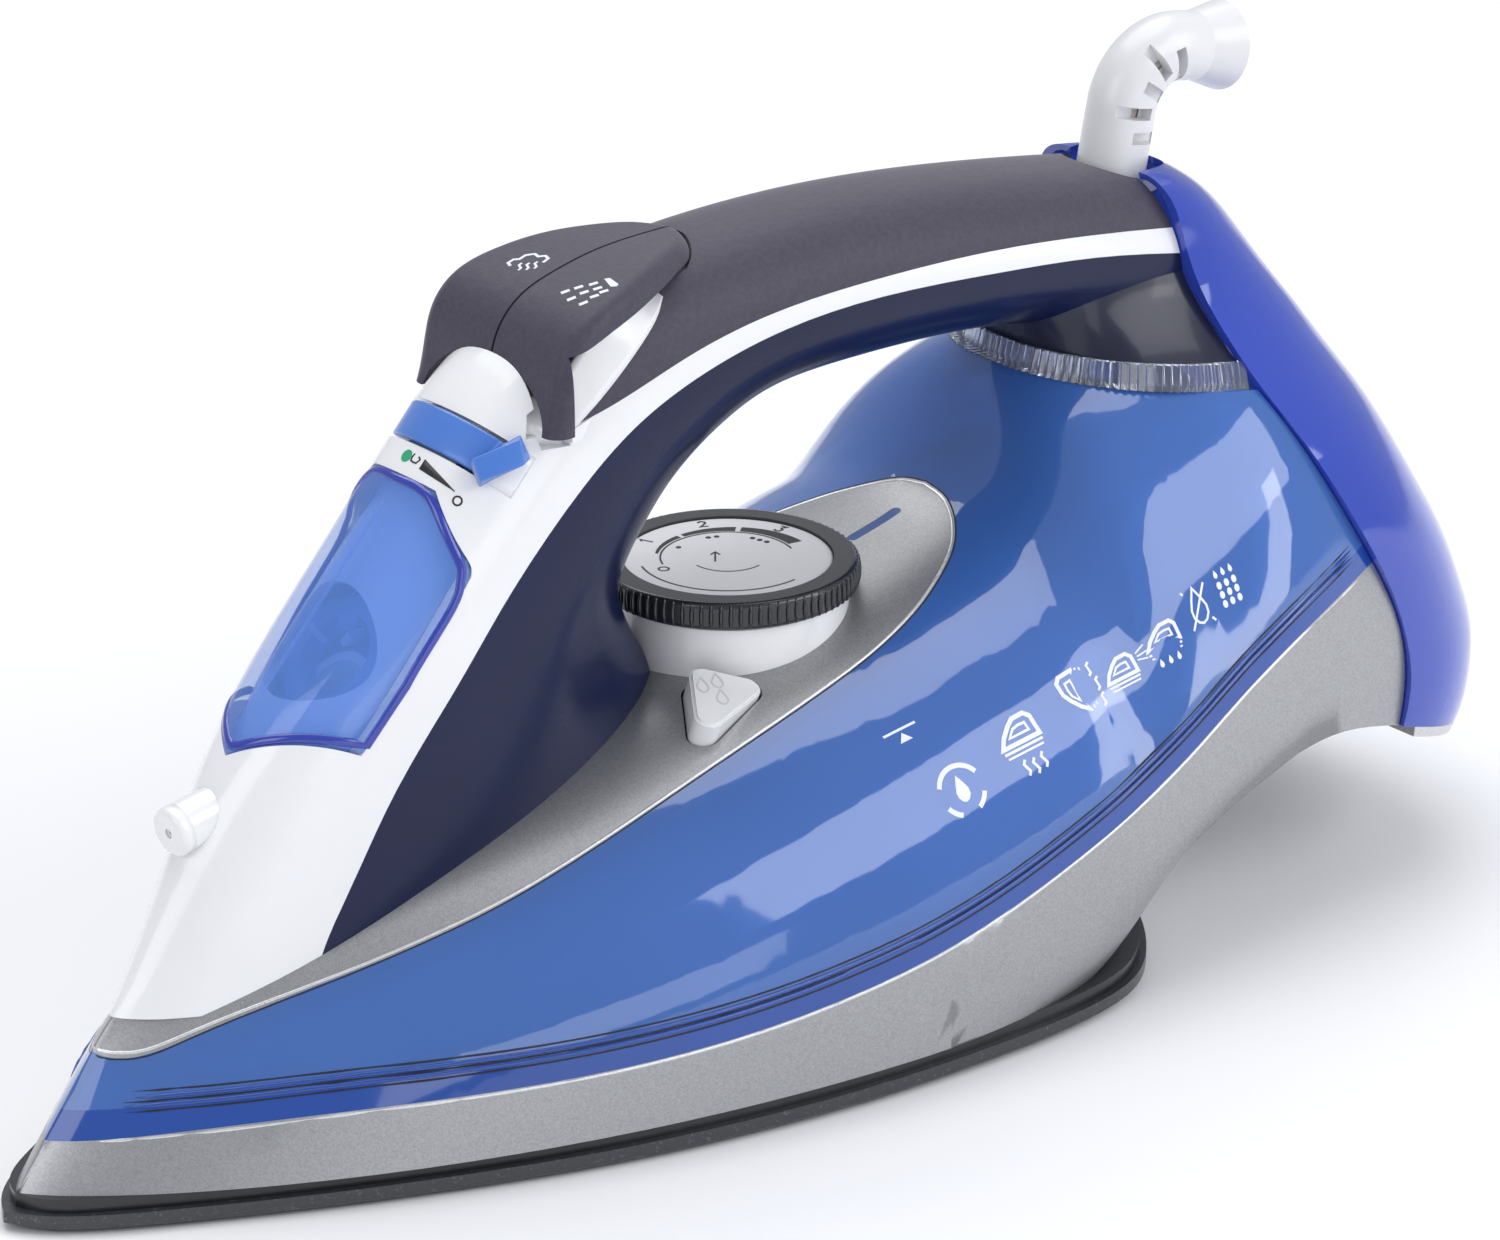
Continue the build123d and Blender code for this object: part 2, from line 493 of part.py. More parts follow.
keep("handle_grip", grip)
keep("fill_lid", lid)
keep("steam_slider", slider)
keep("spray_nozzle", nozzle)
keep("spray_button", max(left_cap.solids(), key=lambda q: q.volume))
keep("steam_button", max(right_cap.solids(), key=lambda q: q.volume))

bed = common(grip_in - Solid.make_loft([rib(*r, inset=HANDLE_WALL + 1.8) for r in RIBS]), lid_prism(2.2))
bed = biggest(bed)
FILL_C = LID_C - LID_N * 8.6 - LID_D * 4
filler_bore = Solid.make_cylinder(11.0, 30, Plane(origin=FILL_C - LID_N * 20, z_dir=LID_N))
bed = biggest((bed - filler_bore) - Pos(*(LID_N * -0.4)) * lid)
keep("fill_bed", bed)
filler = (Solid.make_cylinder(10.9, 4.4, Plane(origin=FILL_C - LID_N * 4.6, z_dir=LID_N))
          - Solid.make_cylinder(7.4, 12, Plane(origin=FILL_C - LID_N * 6, z_dir=LID_N)))
for k in range(3):
    a = radians(120 * k + 30)
    tab_p = Plane(origin=FILL_C - LID_N * 1.9, x_dir=LID_D, z_dir=LID_N).rotated((0, 0, 120 * k + 30))
    filler = filler + extrude(tab_p * Pos(6.2, 0) * Rectangle(3.0, 3.4), amount=1.2)
keep("filler_ring", filler)
fp = FILL_C - LID_N * 4.6
elbow = (-84.0, 0, 68.0)
reach = fp + LID_N * 12 - Vector(*elbow)


def funnel_solid(r, bottom):
    return (cyl((-84, 0, bottom), (0, 0, 1), r, elbow[2] - bottom) + Pos(*elbow) * Sphere(r)
            + Solid.make_cylinder(r, reach.length, Plane(origin=elbow, z_dir=reach)))


funnel = funnel_solid(8.0, 37) - funnel_solid(6.6, 30)
funnel = biggest(funnel - extrude(Plane(origin=fp, x_dir=LID_D, z_dir=LID_N) * Rectangle(70, 70), amount=40))
keep("fill_funnel", funnel)

# ---------------------------------------------------------------- clear ring and rear handle block
print("rear", flush=True)


def ring_line(z0, xf, hw):
    """Outline around the rear block in a plane that falls gently toward the heel."""
    pts = []
    for k in range(9):
        a = pi / 2 * k / 8
        pts.append((xf + (92 - xf) * (1 - cos(a)), hw * sin(a)**0.92))
    pts += [(100, hw * 0.995), (112, hw * 0.97)]
    P3 = [Vector(x, y, z0 - 0.125 * (x - 58)) for x, y in pts]
    M3 = [Vector(v.X, -v.Y, v.Z) for v in reversed(P3[1:])]
    e = Edge.make_spline(M3 + P3)
    return Wire([e, Edge.make_line(e @ 1, e @ 0)])


RING_Z = 99.68
ring = Solid.make_loft([ring_line(RING_Z, 58.6, 31.4), ring_line(RING_Z + 4.4, 60.0, 29.6)], True)
ring_in = Solid.make_loft([ring_line(RING_Z - 1, 62.0, 28.0), ring_line(RING_Z + 6, 63.0, 26.4)], True)
light_ring = biggest((ring - ring_in) - all_rear)
keep("light_ring", light_ring)
block = Solid.make_loft([ring_line(RING_Z + 4.45, 61.2, 28.4), ring_line(RING_Z + 8.5, 59.0, 24.2),
                         ring_line(RING_Z + 13, 55.0, 20.4), ring_line(RING_Z + 18, 50.0, 17.6),
                         ring_line(RING_Z + 23, 47.0, 16.4)])
block_in = Solid.make_loft([ring_line(RING_Z + 3, 64.2, 26.0), ring_line(RING_Z + 8.5, 62.0, 21.4),
                            ring_line(RING_Z + 13, 58.0, 17.6), ring_line(RING_Z + 18, 53.0, 14.8),
                            ring_line(RING_Z + 23.5, 50.0, 13.6)])
block = biggest(((block - block_in) - all_rear) - grip_body)
keep("handle_block", block)
tank_top_hole = Solid.make_loft([ring_line(RING_Z - 9, 64.0, 26.6), ring_line(RING_Z + 3, 63.0, 27.0)], True)

# rear cover: plan outlines stacked upward, each (height, seam, half width, distance short of the heel)
COVER = [(17.0, 112.5, 44, 7.0), (20.0, 113, 46.5, 3.5), (25.0, 114, 48.2, 1.0), (31, 115, 48.9, 0.0),
         (40, 116.2, 48.9, 0.8), (48, 115, 48.9, 4.2), (58, 111, 48.7, 8.8), (69, 105, 47.5, 15.0),
         (80, 99.5, 44.2, 21.0), (87, 96.3, 40.6, 25.0), (95.8, 92, 33.6, 30.4), (103, 90.6, 27.6, 35.0),
         (110, 89, 22.4, 40.0), (117, 87.2, 19.4, 45.2), (124, 84, 18.3, 51.6), (128, 82, 16.8, 56.8),
         (131, 80.4, 10.5, 63.5)]
COVER = [(z, seam, half, HEEL_X - short) for z, seam, half, short in COVER]


def cover_wire(z, xs, hw, xr, inset):
    hw, xr = hw - inset, xr - inset
    pts = [(xs - 26, hw * 1.0), (xs - 12, hw * 1.0)]
    for k in range(8):
        a = pi / 2 * k / 7
        pts.append((xs + (xr - xs) * sin(a)**0.9, hw * cos(a)**0.86 if k < 7 else 0.0))
    P3 = [Vector(x, y, z) for x, y in pts]
    M3 = [Vector(v.X, -v.Y, v.Z) for v in reversed(P3[:-1])]
    e = Edge.make_spline(P3 + M3)
    return Wire([e, Edge.make_line(e @ 1, e @ 0)])


cover_body = Solid.make_loft([cover_wire(*c, 0) for c in COVER])
cover_in = Solid.make_loft([cover_wire(z if i < len(COVER) - 1 else z - 2.2, a, b, c, 2.2) for i, (z, a, b, c) in enumerate(COVER)])
print("  cover", cover_body.is_valid, cover_in.is_valid)
front_of_rear = zone(shift(SEAM_REAR, 0.3, 0), [(-170, -12), (-170, 150)])
under_ledge = zone(LEDGE, [(HEEL_X + 15, -20), (70, -20)])
under_foot = zone(shift(LEDGE, 0, -2.0), [(HEEL_X + 15, -20), (70, -20)])
rear_cover = ((cover_body - cover_in) - front_of_rear) - under_ledge
rear_cover = biggest(rear_cover - guard_bore)
keep("rear_cover", rear_cover)
foot = common((cover_body - front_of_rear) - under_foot, under_ledge)
foot = biggest(foot - box(60, 118.5, -60, 60, 0, 60))
keep("heel_foot", foot)

skirt_screws = []
for s in (-1, 1):
    p = cyl((97.0, s * 22.0, 30.0), (0, 0, 1), 3.4, 12)
    skirt = skirt - cyl((97.0, s * 22.0, 20.0), (0, 0, 1), 3.42, 14.9 + 1.0)
    skirt = skirt - cyl((97.0, s * 22.0, 30.0), (0, 0, 1), 1.62, 12)
    skirt_screws.append(cyl((97.0, s * 22.0, 34.0), (0, 0, 1), 3.4, 1.85) + cyl((97.0, s * 22.0, 35.0), (0, 0, 1), 1.6, 6))
skirt = biggest(skirt)
keep("lower_housing", skirt)
keep("housing_screws", Compound([biggest(q) for q in skirt_screws]))

# ---------------------------------------------------------------- dial, pilot lens, self-clean button
print("deck", flush=True)
base_top = DIAL_Z - 0.4
dial_base = cyl((DIAL_X, 0, 60), (0, 0, 1), 20.9, base_top - 60) - hull
dial_base = biggest(dial_base)
hub = cyl((DIAL_X, 0, 55), (0, 0, 1), 5.6, base_top - 55)
dial_base = dial_base + common(hub, hull)
deck = biggest(deck)
deck = deck - cyl((DIAL_X, 0, 40), (0, 0, 1), 5.62, 60)
tank = tank - cyl((DIAL_X, 0, 55), (0, 0, 1), 5.62, 30)
dial_base = biggest(dial_base - navy) - cyl((DIAL_X, 0, 40), (0, 0, 1), SHAFT_R + FIT, 60)
keep("dial_base", dial_base)
knurl = cyl((DIAL_X, 0, DIAL_Z), (0, 0, 1), DIAL_R, 5.0)
knurl = knurl.fillet(1.0, knurl.edges().filter_by(GeomType.CIRCLE))
knurl = knurl - cyl((DIAL_X, 0, DIAL_Z - 1), (0, 0, 1), DISC_R + 0.02, 20)
keep("dial_grip_ring", knurl)
disc = cyl((DIAL_X, 0, DIAL_Z), (0, 0, 1), DISC_R, 4.6)
disc = disc.fillet(0.5, disc.edges().filter_by(GeomType.CIRCLE).group_by(Axis.Z)[-1])
disc = disc - cyl((DIAL_X, 0, DIAL_Z - 1), (0, 0, 1), SHAFT_R, 3.0)
keep("dial_face", disc)
keep("dial_shaft", cyl((DIAL_X, 0, 20.4), (0, 0, 1), SHAFT_R, DIAL_Z + 2.0 - 20.4))

lens_pts = [(27.0, 0), (37.0, 0)]
lens_cut = box(26.2, 37.8, -1.15, 1.15, 70, 90)
lens_body = box(26.25, 37.75, -1.1, 1.1, 70, 90)
lens_body = lens_body.fillet(0.9, lens_body.edges().filter_by(Axis.Z))
lens = biggest(common(common(hull, lens_body) - (hull_skin - box(-200, 200, -90, 90, -10, 40)), box(20, 45, -5, 5, 60, 90)))
deck = deck - lens_body
keep("pilot_lens", lens)

clean_plane = Plane(origin=Vector(*CLEAN_P), x_dir=(1, 0, 0), z_dir=CLEAN_AX)
TRI = [(-0.8, 9.4), (10.2, -0.4), (-11.8, -7.6)]


def tri(grow, low, high):
    f = Face(Wire(Polyline(*TRI, close=True).edges()))
    f = f.fillet_2d(2.6, f.vertices())
    if grow:
        f = offset(f, grow)
    n = Vector(*CLEAN_AX).normalized()
    return extrude(Plane(origin=Vector(*CLEAN_P) + n * low, x_dir=(1, 0, 0), z_dir=CLEAN_AX) * f, amount=high - low, dir=n)


button = tri(0, -2.0, 2.9) + tri(-0.5, 2.9, 3.4)
cdir = Vector(*CLEAN_AX).normalized()
plunger = Solid.make_cylinder(1.8, 16.0, Plane(origin=Vector(*CLEAN_P) - cdir * 17.5, z_dir=cdir))
deck = biggest(deck - tri(0.4, -8, 8))
well = common(tri(2.4, -8.4, 3), water)
tank = tank + well
tank = tank - tri(0.4, -6.0, 8) - Solid.make_cylinder(1.8 + FIT, 40, Plane(origin=Vector(*CLEAN_P) - cdir * 30, z_dir=cdir))
tank = biggest(tank)
deck = deck - dial_bore - rod_bore - fill_bore
deck = biggest(deck)
keep("deck_panel", deck)
tank = biggest((tank - tank_top_hole))
keep("water_tank", tank)
keep("self_clean_button", biggest(button))
keep("self_clean_plunger", biggest(plunger - tri(0, -2.0, 5)))

# ---------------------------------------------------------------- valve rod, seat, pumps, thermostat, wiring
keep("valve_rod", cyl((VALVE_X, 0, 13.6), (0, 0, 1), ROD_R, 90))
seat_ring = cyl((VALVE_X, 0, 12.4), (0, 0, 1), 4.6, 3.2) - cyl((VALVE_X, 0, 10), (0, 0, 1), ROD_R + FIT, 20)
keep("valve_seat", seat_ring)
thermo = box(-5.8, 13, -9, 9, 11.2, 16.5) + cyl((DIAL_X, 0, 16.5), (0, 0, 1), 4.2, 5.5)
thermo = thermo - cyl((DIAL_X, 0, 20.0), (0, 0, 1), SHAFT_R + FIT, 10)
keep("thermostat", thermo)
keep("thermal_fuse", box(28, 44, -5, 5, 11.2, 15.0))
legs = box(105, 109, 9, 13, 25, 40) + box(105, 109, -13, -9, 25, 40)
tb = box(104, 116, -14, 14, 40, 50) + common(legs, skirt_space_in)
tb = biggest(tb)
plate_p = common(grip_in, box(-52, -18, -30, 30, 98.5, 101.0))
plate_p = biggest(plate_p - all_rear)
keep("pump_bracket", plate_p)
for nm, s in (("spray_pump", -1), ("steam_pump", 1)):
    pump = cyl((-38, s * 7, 101.0), (0, 0, 1), 5.6, 13) - cyl((-38, s * 7, 103.0), (0, 0, 1), 4.4, 30)
    keep(nm, pump)
    rod = cyl((-38, s * 7, 108.0), (0, 0, 1), 1.8, 40)
    rod = common(rod, cap_region(shift(CAP_IN, 0, 0), 100, 0.0))
    keep(nm.replace("pump", "plunger"), biggest(rod))
spray_tube = tube([(-104.8, 0, 62.8), (-98, -5.5, 65), (-88, -10.6, 70), (-72, -11.2, 78), (-56, -10, 88), (-48, -8.5, 96.5)], 1.5)
spray_tube = biggest(spray_tube - nozzle - plate_p)
keep("spray_tube", spray_tube)

# ---------------------------------------------------------------- cord guard
print("guard", flush=True)
socket = (Solid.make_cylinder(8.4, 9.0, Plane(origin=gb - guard_ax * 12.5, z_dir=guard_ax))
          - Solid.make_cylinder(5.0 + FIT, 12, Plane(origin=gb - guard_ax * 13, z_dir=guard_ax)))
flange = common(grip_in, box(66, 96, -20, 20, 115.6, 118.0)) - all_rear
flange = flange - Solid.make_cylinder(7.0, 20, Plane(origin=gb - guard_ax * 18, z_dir=guard_ax))
socket = biggest(biggest(flange) + socket)
keep("guard_socket", socket)
collar = (Solid.make_cylinder(8.6, 3.4, Plane(origin=gb - guard_ax * 2.4, z_dir=guard_ax))
          + Solid.make_cylinder(5.0, 10.0, Plane(origin=gb - guard_ax * 12.0, z_dir=guard_ax)))
GUARD_END = (105.6, 0.0, 147.8)          # middle of the bell's mouth
GUARD_TURN = (91.03, 0.0, 150.6)         # where the two straight runs would meet
GUARD_BEND = 11.0                        # radius of the bend between them
t_end = (Vector(*GUARD_END) - Vector(*GUARD_TURN)).normalized()


def bent_run(start, end):
    """Straight, one arc, straight: the line that the guard and the lead inside it share."""
    return FilletPolyline(tuple(start), GUARD_TURN, tuple(end), radius=GUARD_BEND)


def bent_tube(start, end, r):
    path = bent_run(start, end)
    return biggest(sweep(Plane(origin=path @ 0, z_dir=path % 0) * Circle(r), path=path))


gpath = bent_run(gb - guard_ax * 1.0, GUARD_END)
guard_tube = bent_tube(gb - guard_ax * 1.0, GUARD_END, 6.2)
bell = Solid.make_cone(5.6, 8.0, 9.0, Plane(origin=Vector(*GUARD_END) - t_end * 2.5, z_dir=t_end))
guard = biggest(guard_tube + bell + collar)
bore = bent_tube(gb - guard_ax * 13, Vector(*GUARD_END) + t_end * 8, 3.6)
mouth = Solid.make_cone(3.6, 6.4, 5.2, Plane(origin=Vector(*GUARD_END) + t_end * 1.5, z_dir=t_end))
guard = guard - bore - mouth
for k, f in enumerate((0.30, 0.42, 0.54, 0.66, 0.78)):
    p, t = gpath @ f, gpath % f
    side = Vector(0, 1, 0)
    pl = Plane(origin=p, x_dir=side, z_dir=t)
    for s in (1, -1):
        guard = guard - extrude(pl * Pos(s * 6.2, (1.6 if k % 2 else -1.6)) * Rectangle(5.4, 6.6), amount=1.1, both=True)
guard = biggest(guard)
keep("cord_guard", guard)
lead = bent_tube(gb - guard_ax * 11.9, Vector(*GUARD_END) + t_end * 2.0, 3.3)
keep("cord_lead", lead)
wires = []
for k, s in enumerate((-1, 0, 1)):
    w = tube([(84.0, s * 3.0, 110.2), (92, s * 3.4, 108.6), (104, s * 4.0, 101), (111.6, s * 5.0, 86), (113.2, s * 6.5, 66), (112, s * 7.5, 50.0)], 1.2)
    wires.append(w)
keep("lead_wires", Compound(wires))
keep("terminal_block", biggest(tb))
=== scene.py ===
import math
import bmesh
import bpy
from mathutils import Matrix, Vector, geometry
from mathutils.bvhtree import BVHTree


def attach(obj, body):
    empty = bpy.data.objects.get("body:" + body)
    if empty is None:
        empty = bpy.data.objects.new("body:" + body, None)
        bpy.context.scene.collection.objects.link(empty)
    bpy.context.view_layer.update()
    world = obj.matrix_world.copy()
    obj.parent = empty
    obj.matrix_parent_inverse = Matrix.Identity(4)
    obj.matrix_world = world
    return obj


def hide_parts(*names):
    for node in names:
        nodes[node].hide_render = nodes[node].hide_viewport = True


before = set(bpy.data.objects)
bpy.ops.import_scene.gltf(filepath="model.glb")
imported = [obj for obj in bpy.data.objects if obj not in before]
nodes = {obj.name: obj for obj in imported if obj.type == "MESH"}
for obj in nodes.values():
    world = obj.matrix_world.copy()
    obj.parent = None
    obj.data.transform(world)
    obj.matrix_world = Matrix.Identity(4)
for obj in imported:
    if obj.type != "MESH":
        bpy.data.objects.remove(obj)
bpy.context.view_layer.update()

MM = 0.001

# ---- Pressing plate, its casting and the dark heat band above it
# A cast aluminium plate with a dark non-stick ceramic coat full of pale specks. The black band
# is a glass-filled heat collar, pressed on round the casting.


def new_material(name):
    """A named material with its node tree and its Principled shader."""
    mat = bpy.data.materials.new(name)
    mat.use_nodes = True
    tree = mat.node_tree
    return mat, tree, tree.nodes["Principled BSDF"]


def set_shader(bsdf, **values):
    for key, value in values.items():
        bsdf.inputs[key.replace("_", " ")].default_value = value


def dress(mat, *names):
    """Gives CAD nodes their finish."""
    for n in names:
        o = nodes[n]
        if not o.material_slots:
            o.data.materials.append(mat)
        for s in o.material_slots:
            s.material = mat


def group_sockets(group, inputs, outputs):
    for n, kind, value in inputs:
        s = group.interface.new_socket(n, in_out="INPUT", socket_type="NodeSocket" + kind)
        if value is not None:
            s.default_value = value
    for n, kind in outputs:
        group.interface.new_socket(n, in_out="OUTPUT", socket_type="NodeSocket" + kind)


def add_node(tree, kind, **settings):
    node = tree.nodes.new(kind)
    for key, value in settings.items():
        if key.startswith("in_"):
            node.inputs[key[3:].replace("_", " ")].default_value = value
        else:
            setattr(node, key, value)
    return node


def wire(tree, *links):
    """Joins sockets: each link is a node and its output, then a node and its input."""
    for source, output, target, socket in links:
        tree.links.new(source.outputs[output], target.inputs[socket])


def placed(name, mesh, body):
    """A finished mesh in the scene, riding on the body that carries it."""
    piece = bpy.data.objects.new(name, mesh)
    bpy.context.scene.collection.objects.link(piece)
    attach(piece, body)
    return piece


def moulded_group():
    """Roughness that varies a little by place, and the fine texture of a spark-eroded mould."""
    g = bpy.data.node_groups.new("moulded_texture", "ShaderNodeTree")
    group_sockets(g, [("Roughness", "Float", 0.3), ("Variation", "Float", 0.05), ("Grain size", "Float", 900.0),
                      ("Handling size", "Float", 40.0)], [("Roughness", "Float"), ("Grain", "Float")])
    gi, go = add_node(g, "NodeGroupInput"), add_node(g, "NodeGroupOutput")
    co = add_node(g, "ShaderNodeTexCoord")
    big = add_node(g, "ShaderNodeTexNoise", in_Detail=4.0, in_Roughness=0.6)
    fine = add_node(g, "ShaderNodeTexNoise", in_Detail=2.0, in_Roughness=0.5)
    for tex, size in ((big, "Handling size"), (fine, "Grain size")):
        wire(g, (co, "Object", tex, "Vector"), (gi, size, tex, "Scale"))
    centred = add_node(g, "ShaderNodeMath", operation="SUBTRACT")
    centred.inputs[1].default_value = 0.5
    wire(g, (big, "Fac", centred, 0))
    spread = add_node(g, "ShaderNodeMath", operation="MULTIPLY_ADD", use_clamp=True)
    wire(g, (centred, 0, spread, 0), (gi, "Variation", spread, 1), (gi, "Roughness", spread, 2),
         (spread, 0, go, "Roughness"), (fine, "Fac", go, "Grain"))
    return g


MOULDED = moulded_group()


def texture_surface(tree, bsdf, roughness, variation, grain, strength, handling=40.0, distance=0.00005):
    """Places the mould texture in a material, on its roughness and its normal."""
    tex = add_node(tree, "ShaderNodeGroup", node_tree=MOULDED, in_Roughness=roughness, in_Variation=variation,
                   in_Grain_size=grain, in_Handling_size=handling)
    bump = add_node(tree, "ShaderNodeBump", in_Strength=strength, in_Distance=distance)
    wire(tree, (tex, "Roughness", bsdf, "Roughness"), (tex, "Grain", bump, "Height"),
         (bump, "Normal", bsdf, "Normal"))
    return bump


def speckle_colours(tree, bsdf, scale, stops):
    """Base colour from fine noise, by a ramp of (place, colour)."""
    co = add_node(tree, "ShaderNodeTexCoord")
    noise = add_node(tree, "ShaderNodeTexNoise", in_Scale=scale, in_Detail=3.0, in_Roughness=0.7)
    ramp = add_node(tree, "ShaderNodeValToRGB")
    while len(ramp.color_ramp.elements) < len(stops):
        ramp.color_ramp.elements.new(0.5)
    for e, (at, c) in zip(ramp.color_ramp.elements, stops):
        e.position, e.color = at, (*c, 1)
    wire(tree, (co, "Object", noise, "Vector"), (noise, "Fac", ramp, "Fac"),
         (ramp, "Color", bsdf, "Base Color"))


def finished(name, scale, stops, texture, distance=0.00005, handling=40.0, **shader):
    """A material: mottled colour, mould texture (roughness, its spread, grain size, depth) and shader values."""
    mat, tree, bsdf = new_material(name)
    speckle_colours(tree, bsdf, scale, stops)
    set_shader(bsdf, **shader)
    texture_surface(tree, bsdf, *texture, handling=handling, distance=distance)
    return mat


ceramic = finished("speckled_ceramic", 1400.0, [(0.0, (0.030, 0.032, 0.037)), (0.60, (0.040, 0.043, 0.049)),
                                                (0.70, (0.13, 0.135, 0.145))], (0.36, 0.10, 1300.0, 0.25),
                   Metallic=0.25, Coat_Weight=0.35, Coat_Roughness=0.25)
dress(ceramic, "soleplate")
cast_metal = finished("cast_aluminium", 500.0, [(0.0, (0.42, 0.43, 0.44)), (1.0, (0.60, 0.61, 0.62))],
                      (0.42, 0.12, 700.0, 0.4), Metallic=1.0)
dress(cast_metal, "sole_casting", "steam_chamber_cover", "heating_element")
heat_band = finished("heat_band_black", 220.0, [(0.3, (0.006, 0.006, 0.008)), (0.8, (0.013, 0.013, 0.016))],
                     (0.30, 0.10, 1100.0, 0.2), Coat_Weight=0.3, Coat_Roughness=0.2)
dress(heat_band, "sole_band")

# ---- Silver housing, deck panel and heel foot
# Injection-moulded shells sprayed with a fine metallic lacquer. The flakes lie at slightly
# different angles, so the paint glitters from grain to grain.


def flake_group():
    """Metal flakes: a brightness for each flake and a height that tips it."""
    g = bpy.data.node_groups.new("metal_flakes", "ShaderNodeTree")
    group_sockets(g, [("Flake size", "Float", 2600.0), ("Dark", "Color", (0.4, 0.4, 0.4, 1)),
                      ("Bright", "Color", (0.6, 0.6, 0.6, 1))], [("Color", "Color"), ("Tilt", "Float")])
    gi, go = add_node(g, "NodeGroupInput"), add_node(g, "NodeGroupOutput")
    co = add_node(g, "ShaderNodeTexCoord")
    cells = add_node(g, "ShaderNodeTexVoronoi")
    noise = add_node(g, "ShaderNodeTexNoise", in_Detail=2.0)
    for tex in (cells, noise):
        wire(g, (co, "Object", tex, "Vector"), (gi, "Flake size", tex, "Scale"))
    bw = add_node(g, "ShaderNodeRGBToBW")
    wire(g, (cells, "Color", bw, 0))
    both = add_node(g, "ShaderNodeMath", operation="ADD")
    half = add_node(g, "ShaderNodeMath", operation="MULTIPLY")
    half.inputs[1].default_value = 0.5
    wire(g, (bw, 0, both, 0), (noise, "Fac", both, 1), (both, 0, half, 0))
    mix = add_node(g, "ShaderNodeMix", data_type="RGBA")
    wire(g, (half, 0, mix, "Factor"), (gi, "Dark", mix, "A"), (gi, "Bright", mix, "B"),
         (mix, "Result", go, "Color"), (bw, 0, go, "Tilt"))
    return g


FLAKES = flake_group()


def metallic_paint(name, dark, bright, metallic, roughness, size=2400.0, tilt=0.35):
    mat, tree, bsdf = new_material(name)
    flakes = add_node(tree, "ShaderNodeGroup", node_tree=FLAKES, in_Flake_size=size, in_Dark=(*dark, 1),
                      in_Bright=(*bright, 1))
    wire(tree, (flakes, "Color", bsdf, "Base Color"))
    bump = texture_surface(tree, bsdf, roughness, 0.06, 1200.0, 0.05)
    second = add_node(tree, "ShaderNodeBump", in_Strength=tilt, in_Distance=0.00003)
    wire(tree, (flakes, "Tilt", second, "Height"), (bump, "Normal", second, "Normal"),
         (second, "Normal", bsdf, "Normal"))
    set_shader(bsdf, Metallic=metallic, Coat_Weight=0.25, Coat_Roughness=0.22)
    return mat


silver = metallic_paint("silver_lacquer", (0.27, 0.275, 0.285), (0.46, 0.465, 0.475), 0.75, 0.40,
                        size=3600.0, tilt=0.22)
dress(silver, "lower_housing", "deck_panel")
foot_paint = metallic_paint("foot_lacquer", (0.45, 0.455, 0.465), (0.78, 0.785, 0.79), 0.6, 0.38)
dress(foot_paint, "heel_foot")
steel = finished("zinc_plated_steel", 300.0, [(0.2, (0.50, 0.51, 0.53)), (0.9, (0.64, 0.65, 0.66))],
                 (0.30, 0.12, 800.0, 0.2), Metallic=1.0)
dress(steel, "housing_screws", "dial_shaft", "self_clean_plunger", "valve_rod", "terminal_block")

# the skirt's side steps in a little at STEP_X, so a copy of it is eased there over FADE (all in mm);
# its width is read PROBE before and after the step, at or above LOWEST
STEP_X, FADE, EASED_TOP, EASED_SIDE, FAR_SIDE = 0.0, 34.0, 30.0, 45.0, 75.0
PROBE, LOWEST, EDGE_ROOM = 0.3, 5.8, 0.15
bm = bmesh.new()
bm.from_mesh(nodes["lower_housing"].data)
bmesh.ops.remove_doubles(bm, verts=bm.verts, dist=0.002 * MM)
long_edges = [e for e in bm.edges if e.calc_length() > 6 * MM
              and all((STEP_X - 1) * MM < v.co.x < (FADE + 2) * MM and v.co.z < (EASED_TOP + 4) * MM
                      and abs(v.co.y) > EASED_SIDE * MM for v in e.verts)]
bmesh.ops.subdivide_edges(bm, edges=long_edges, cuts=2, use_grid_fill=True)
skin = BVHTree.FromBMesh(bm)


def half_at(x, z, s):
    """Half width of the housing at a station and height, on one side."""
    place, _, _, _ = skin.ray_cast(Vector((x, s * FAR_SIDE, z)) * MM, Vector((0, -s, 0)))
    return abs(place.y) / MM if place is not None else None


for v in bm.verts:
    x, y, z, s = v.co.x / MM, abs(v.co.y) / MM, v.co.z / MM, 1 if v.co.y > 0 else -1
    if not (STEP_X - 0.02 < x < FADE and z < EASED_TOP and y > EASED_SIDE):
        continue
    before, after = (half_at(STEP_X + d, max(z, LOWEST), s) for d in (-PROBE, PROBE))
    if before is None or after is None or before <= after or (x < STEP_X + 0.05 and y > before - EDGE_ROOM):
        continue
    t = min(1.0, max(0.0, (x - STEP_X) / FADE))
    v.co.y += s * (before - after) * (1 - t * t * (3 - 2 * t)) * MM
at_step = [v for v in bm.verts if abs(v.co.x - STEP_X * MM) < 0.1 * MM and v.co.z < EASED_TOP * MM
           and abs(v.co.y) > EASED_SIDE * MM]
bmesh.ops.remove_doubles(bm, verts=at_step, dist=0.5 * MM)
mesh = bpy.data.meshes.new("lower_housing_even")
bm.to_mesh(mesh)
bm.free()
mesh.materials.clear()
mesh.materials.append(silver)
mesh.polygons.foreach_set("use_smooth", [True] * len(mesh.polygons))
mesh.polygons.foreach_set("material_index", [0] * len(mesh.polygons))
mesh.set_sharp_from_angle(angle=math.radians(28))
even = placed("lower_housing_even", mesh, "housing")
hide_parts("lower_housing")

# ---- Water tank and its rim
# Blow-clear royal-blue polycarbonate, polished outside. The rim below the water space is solid
# and reads darker; fine ridges run along it from nose to heel.


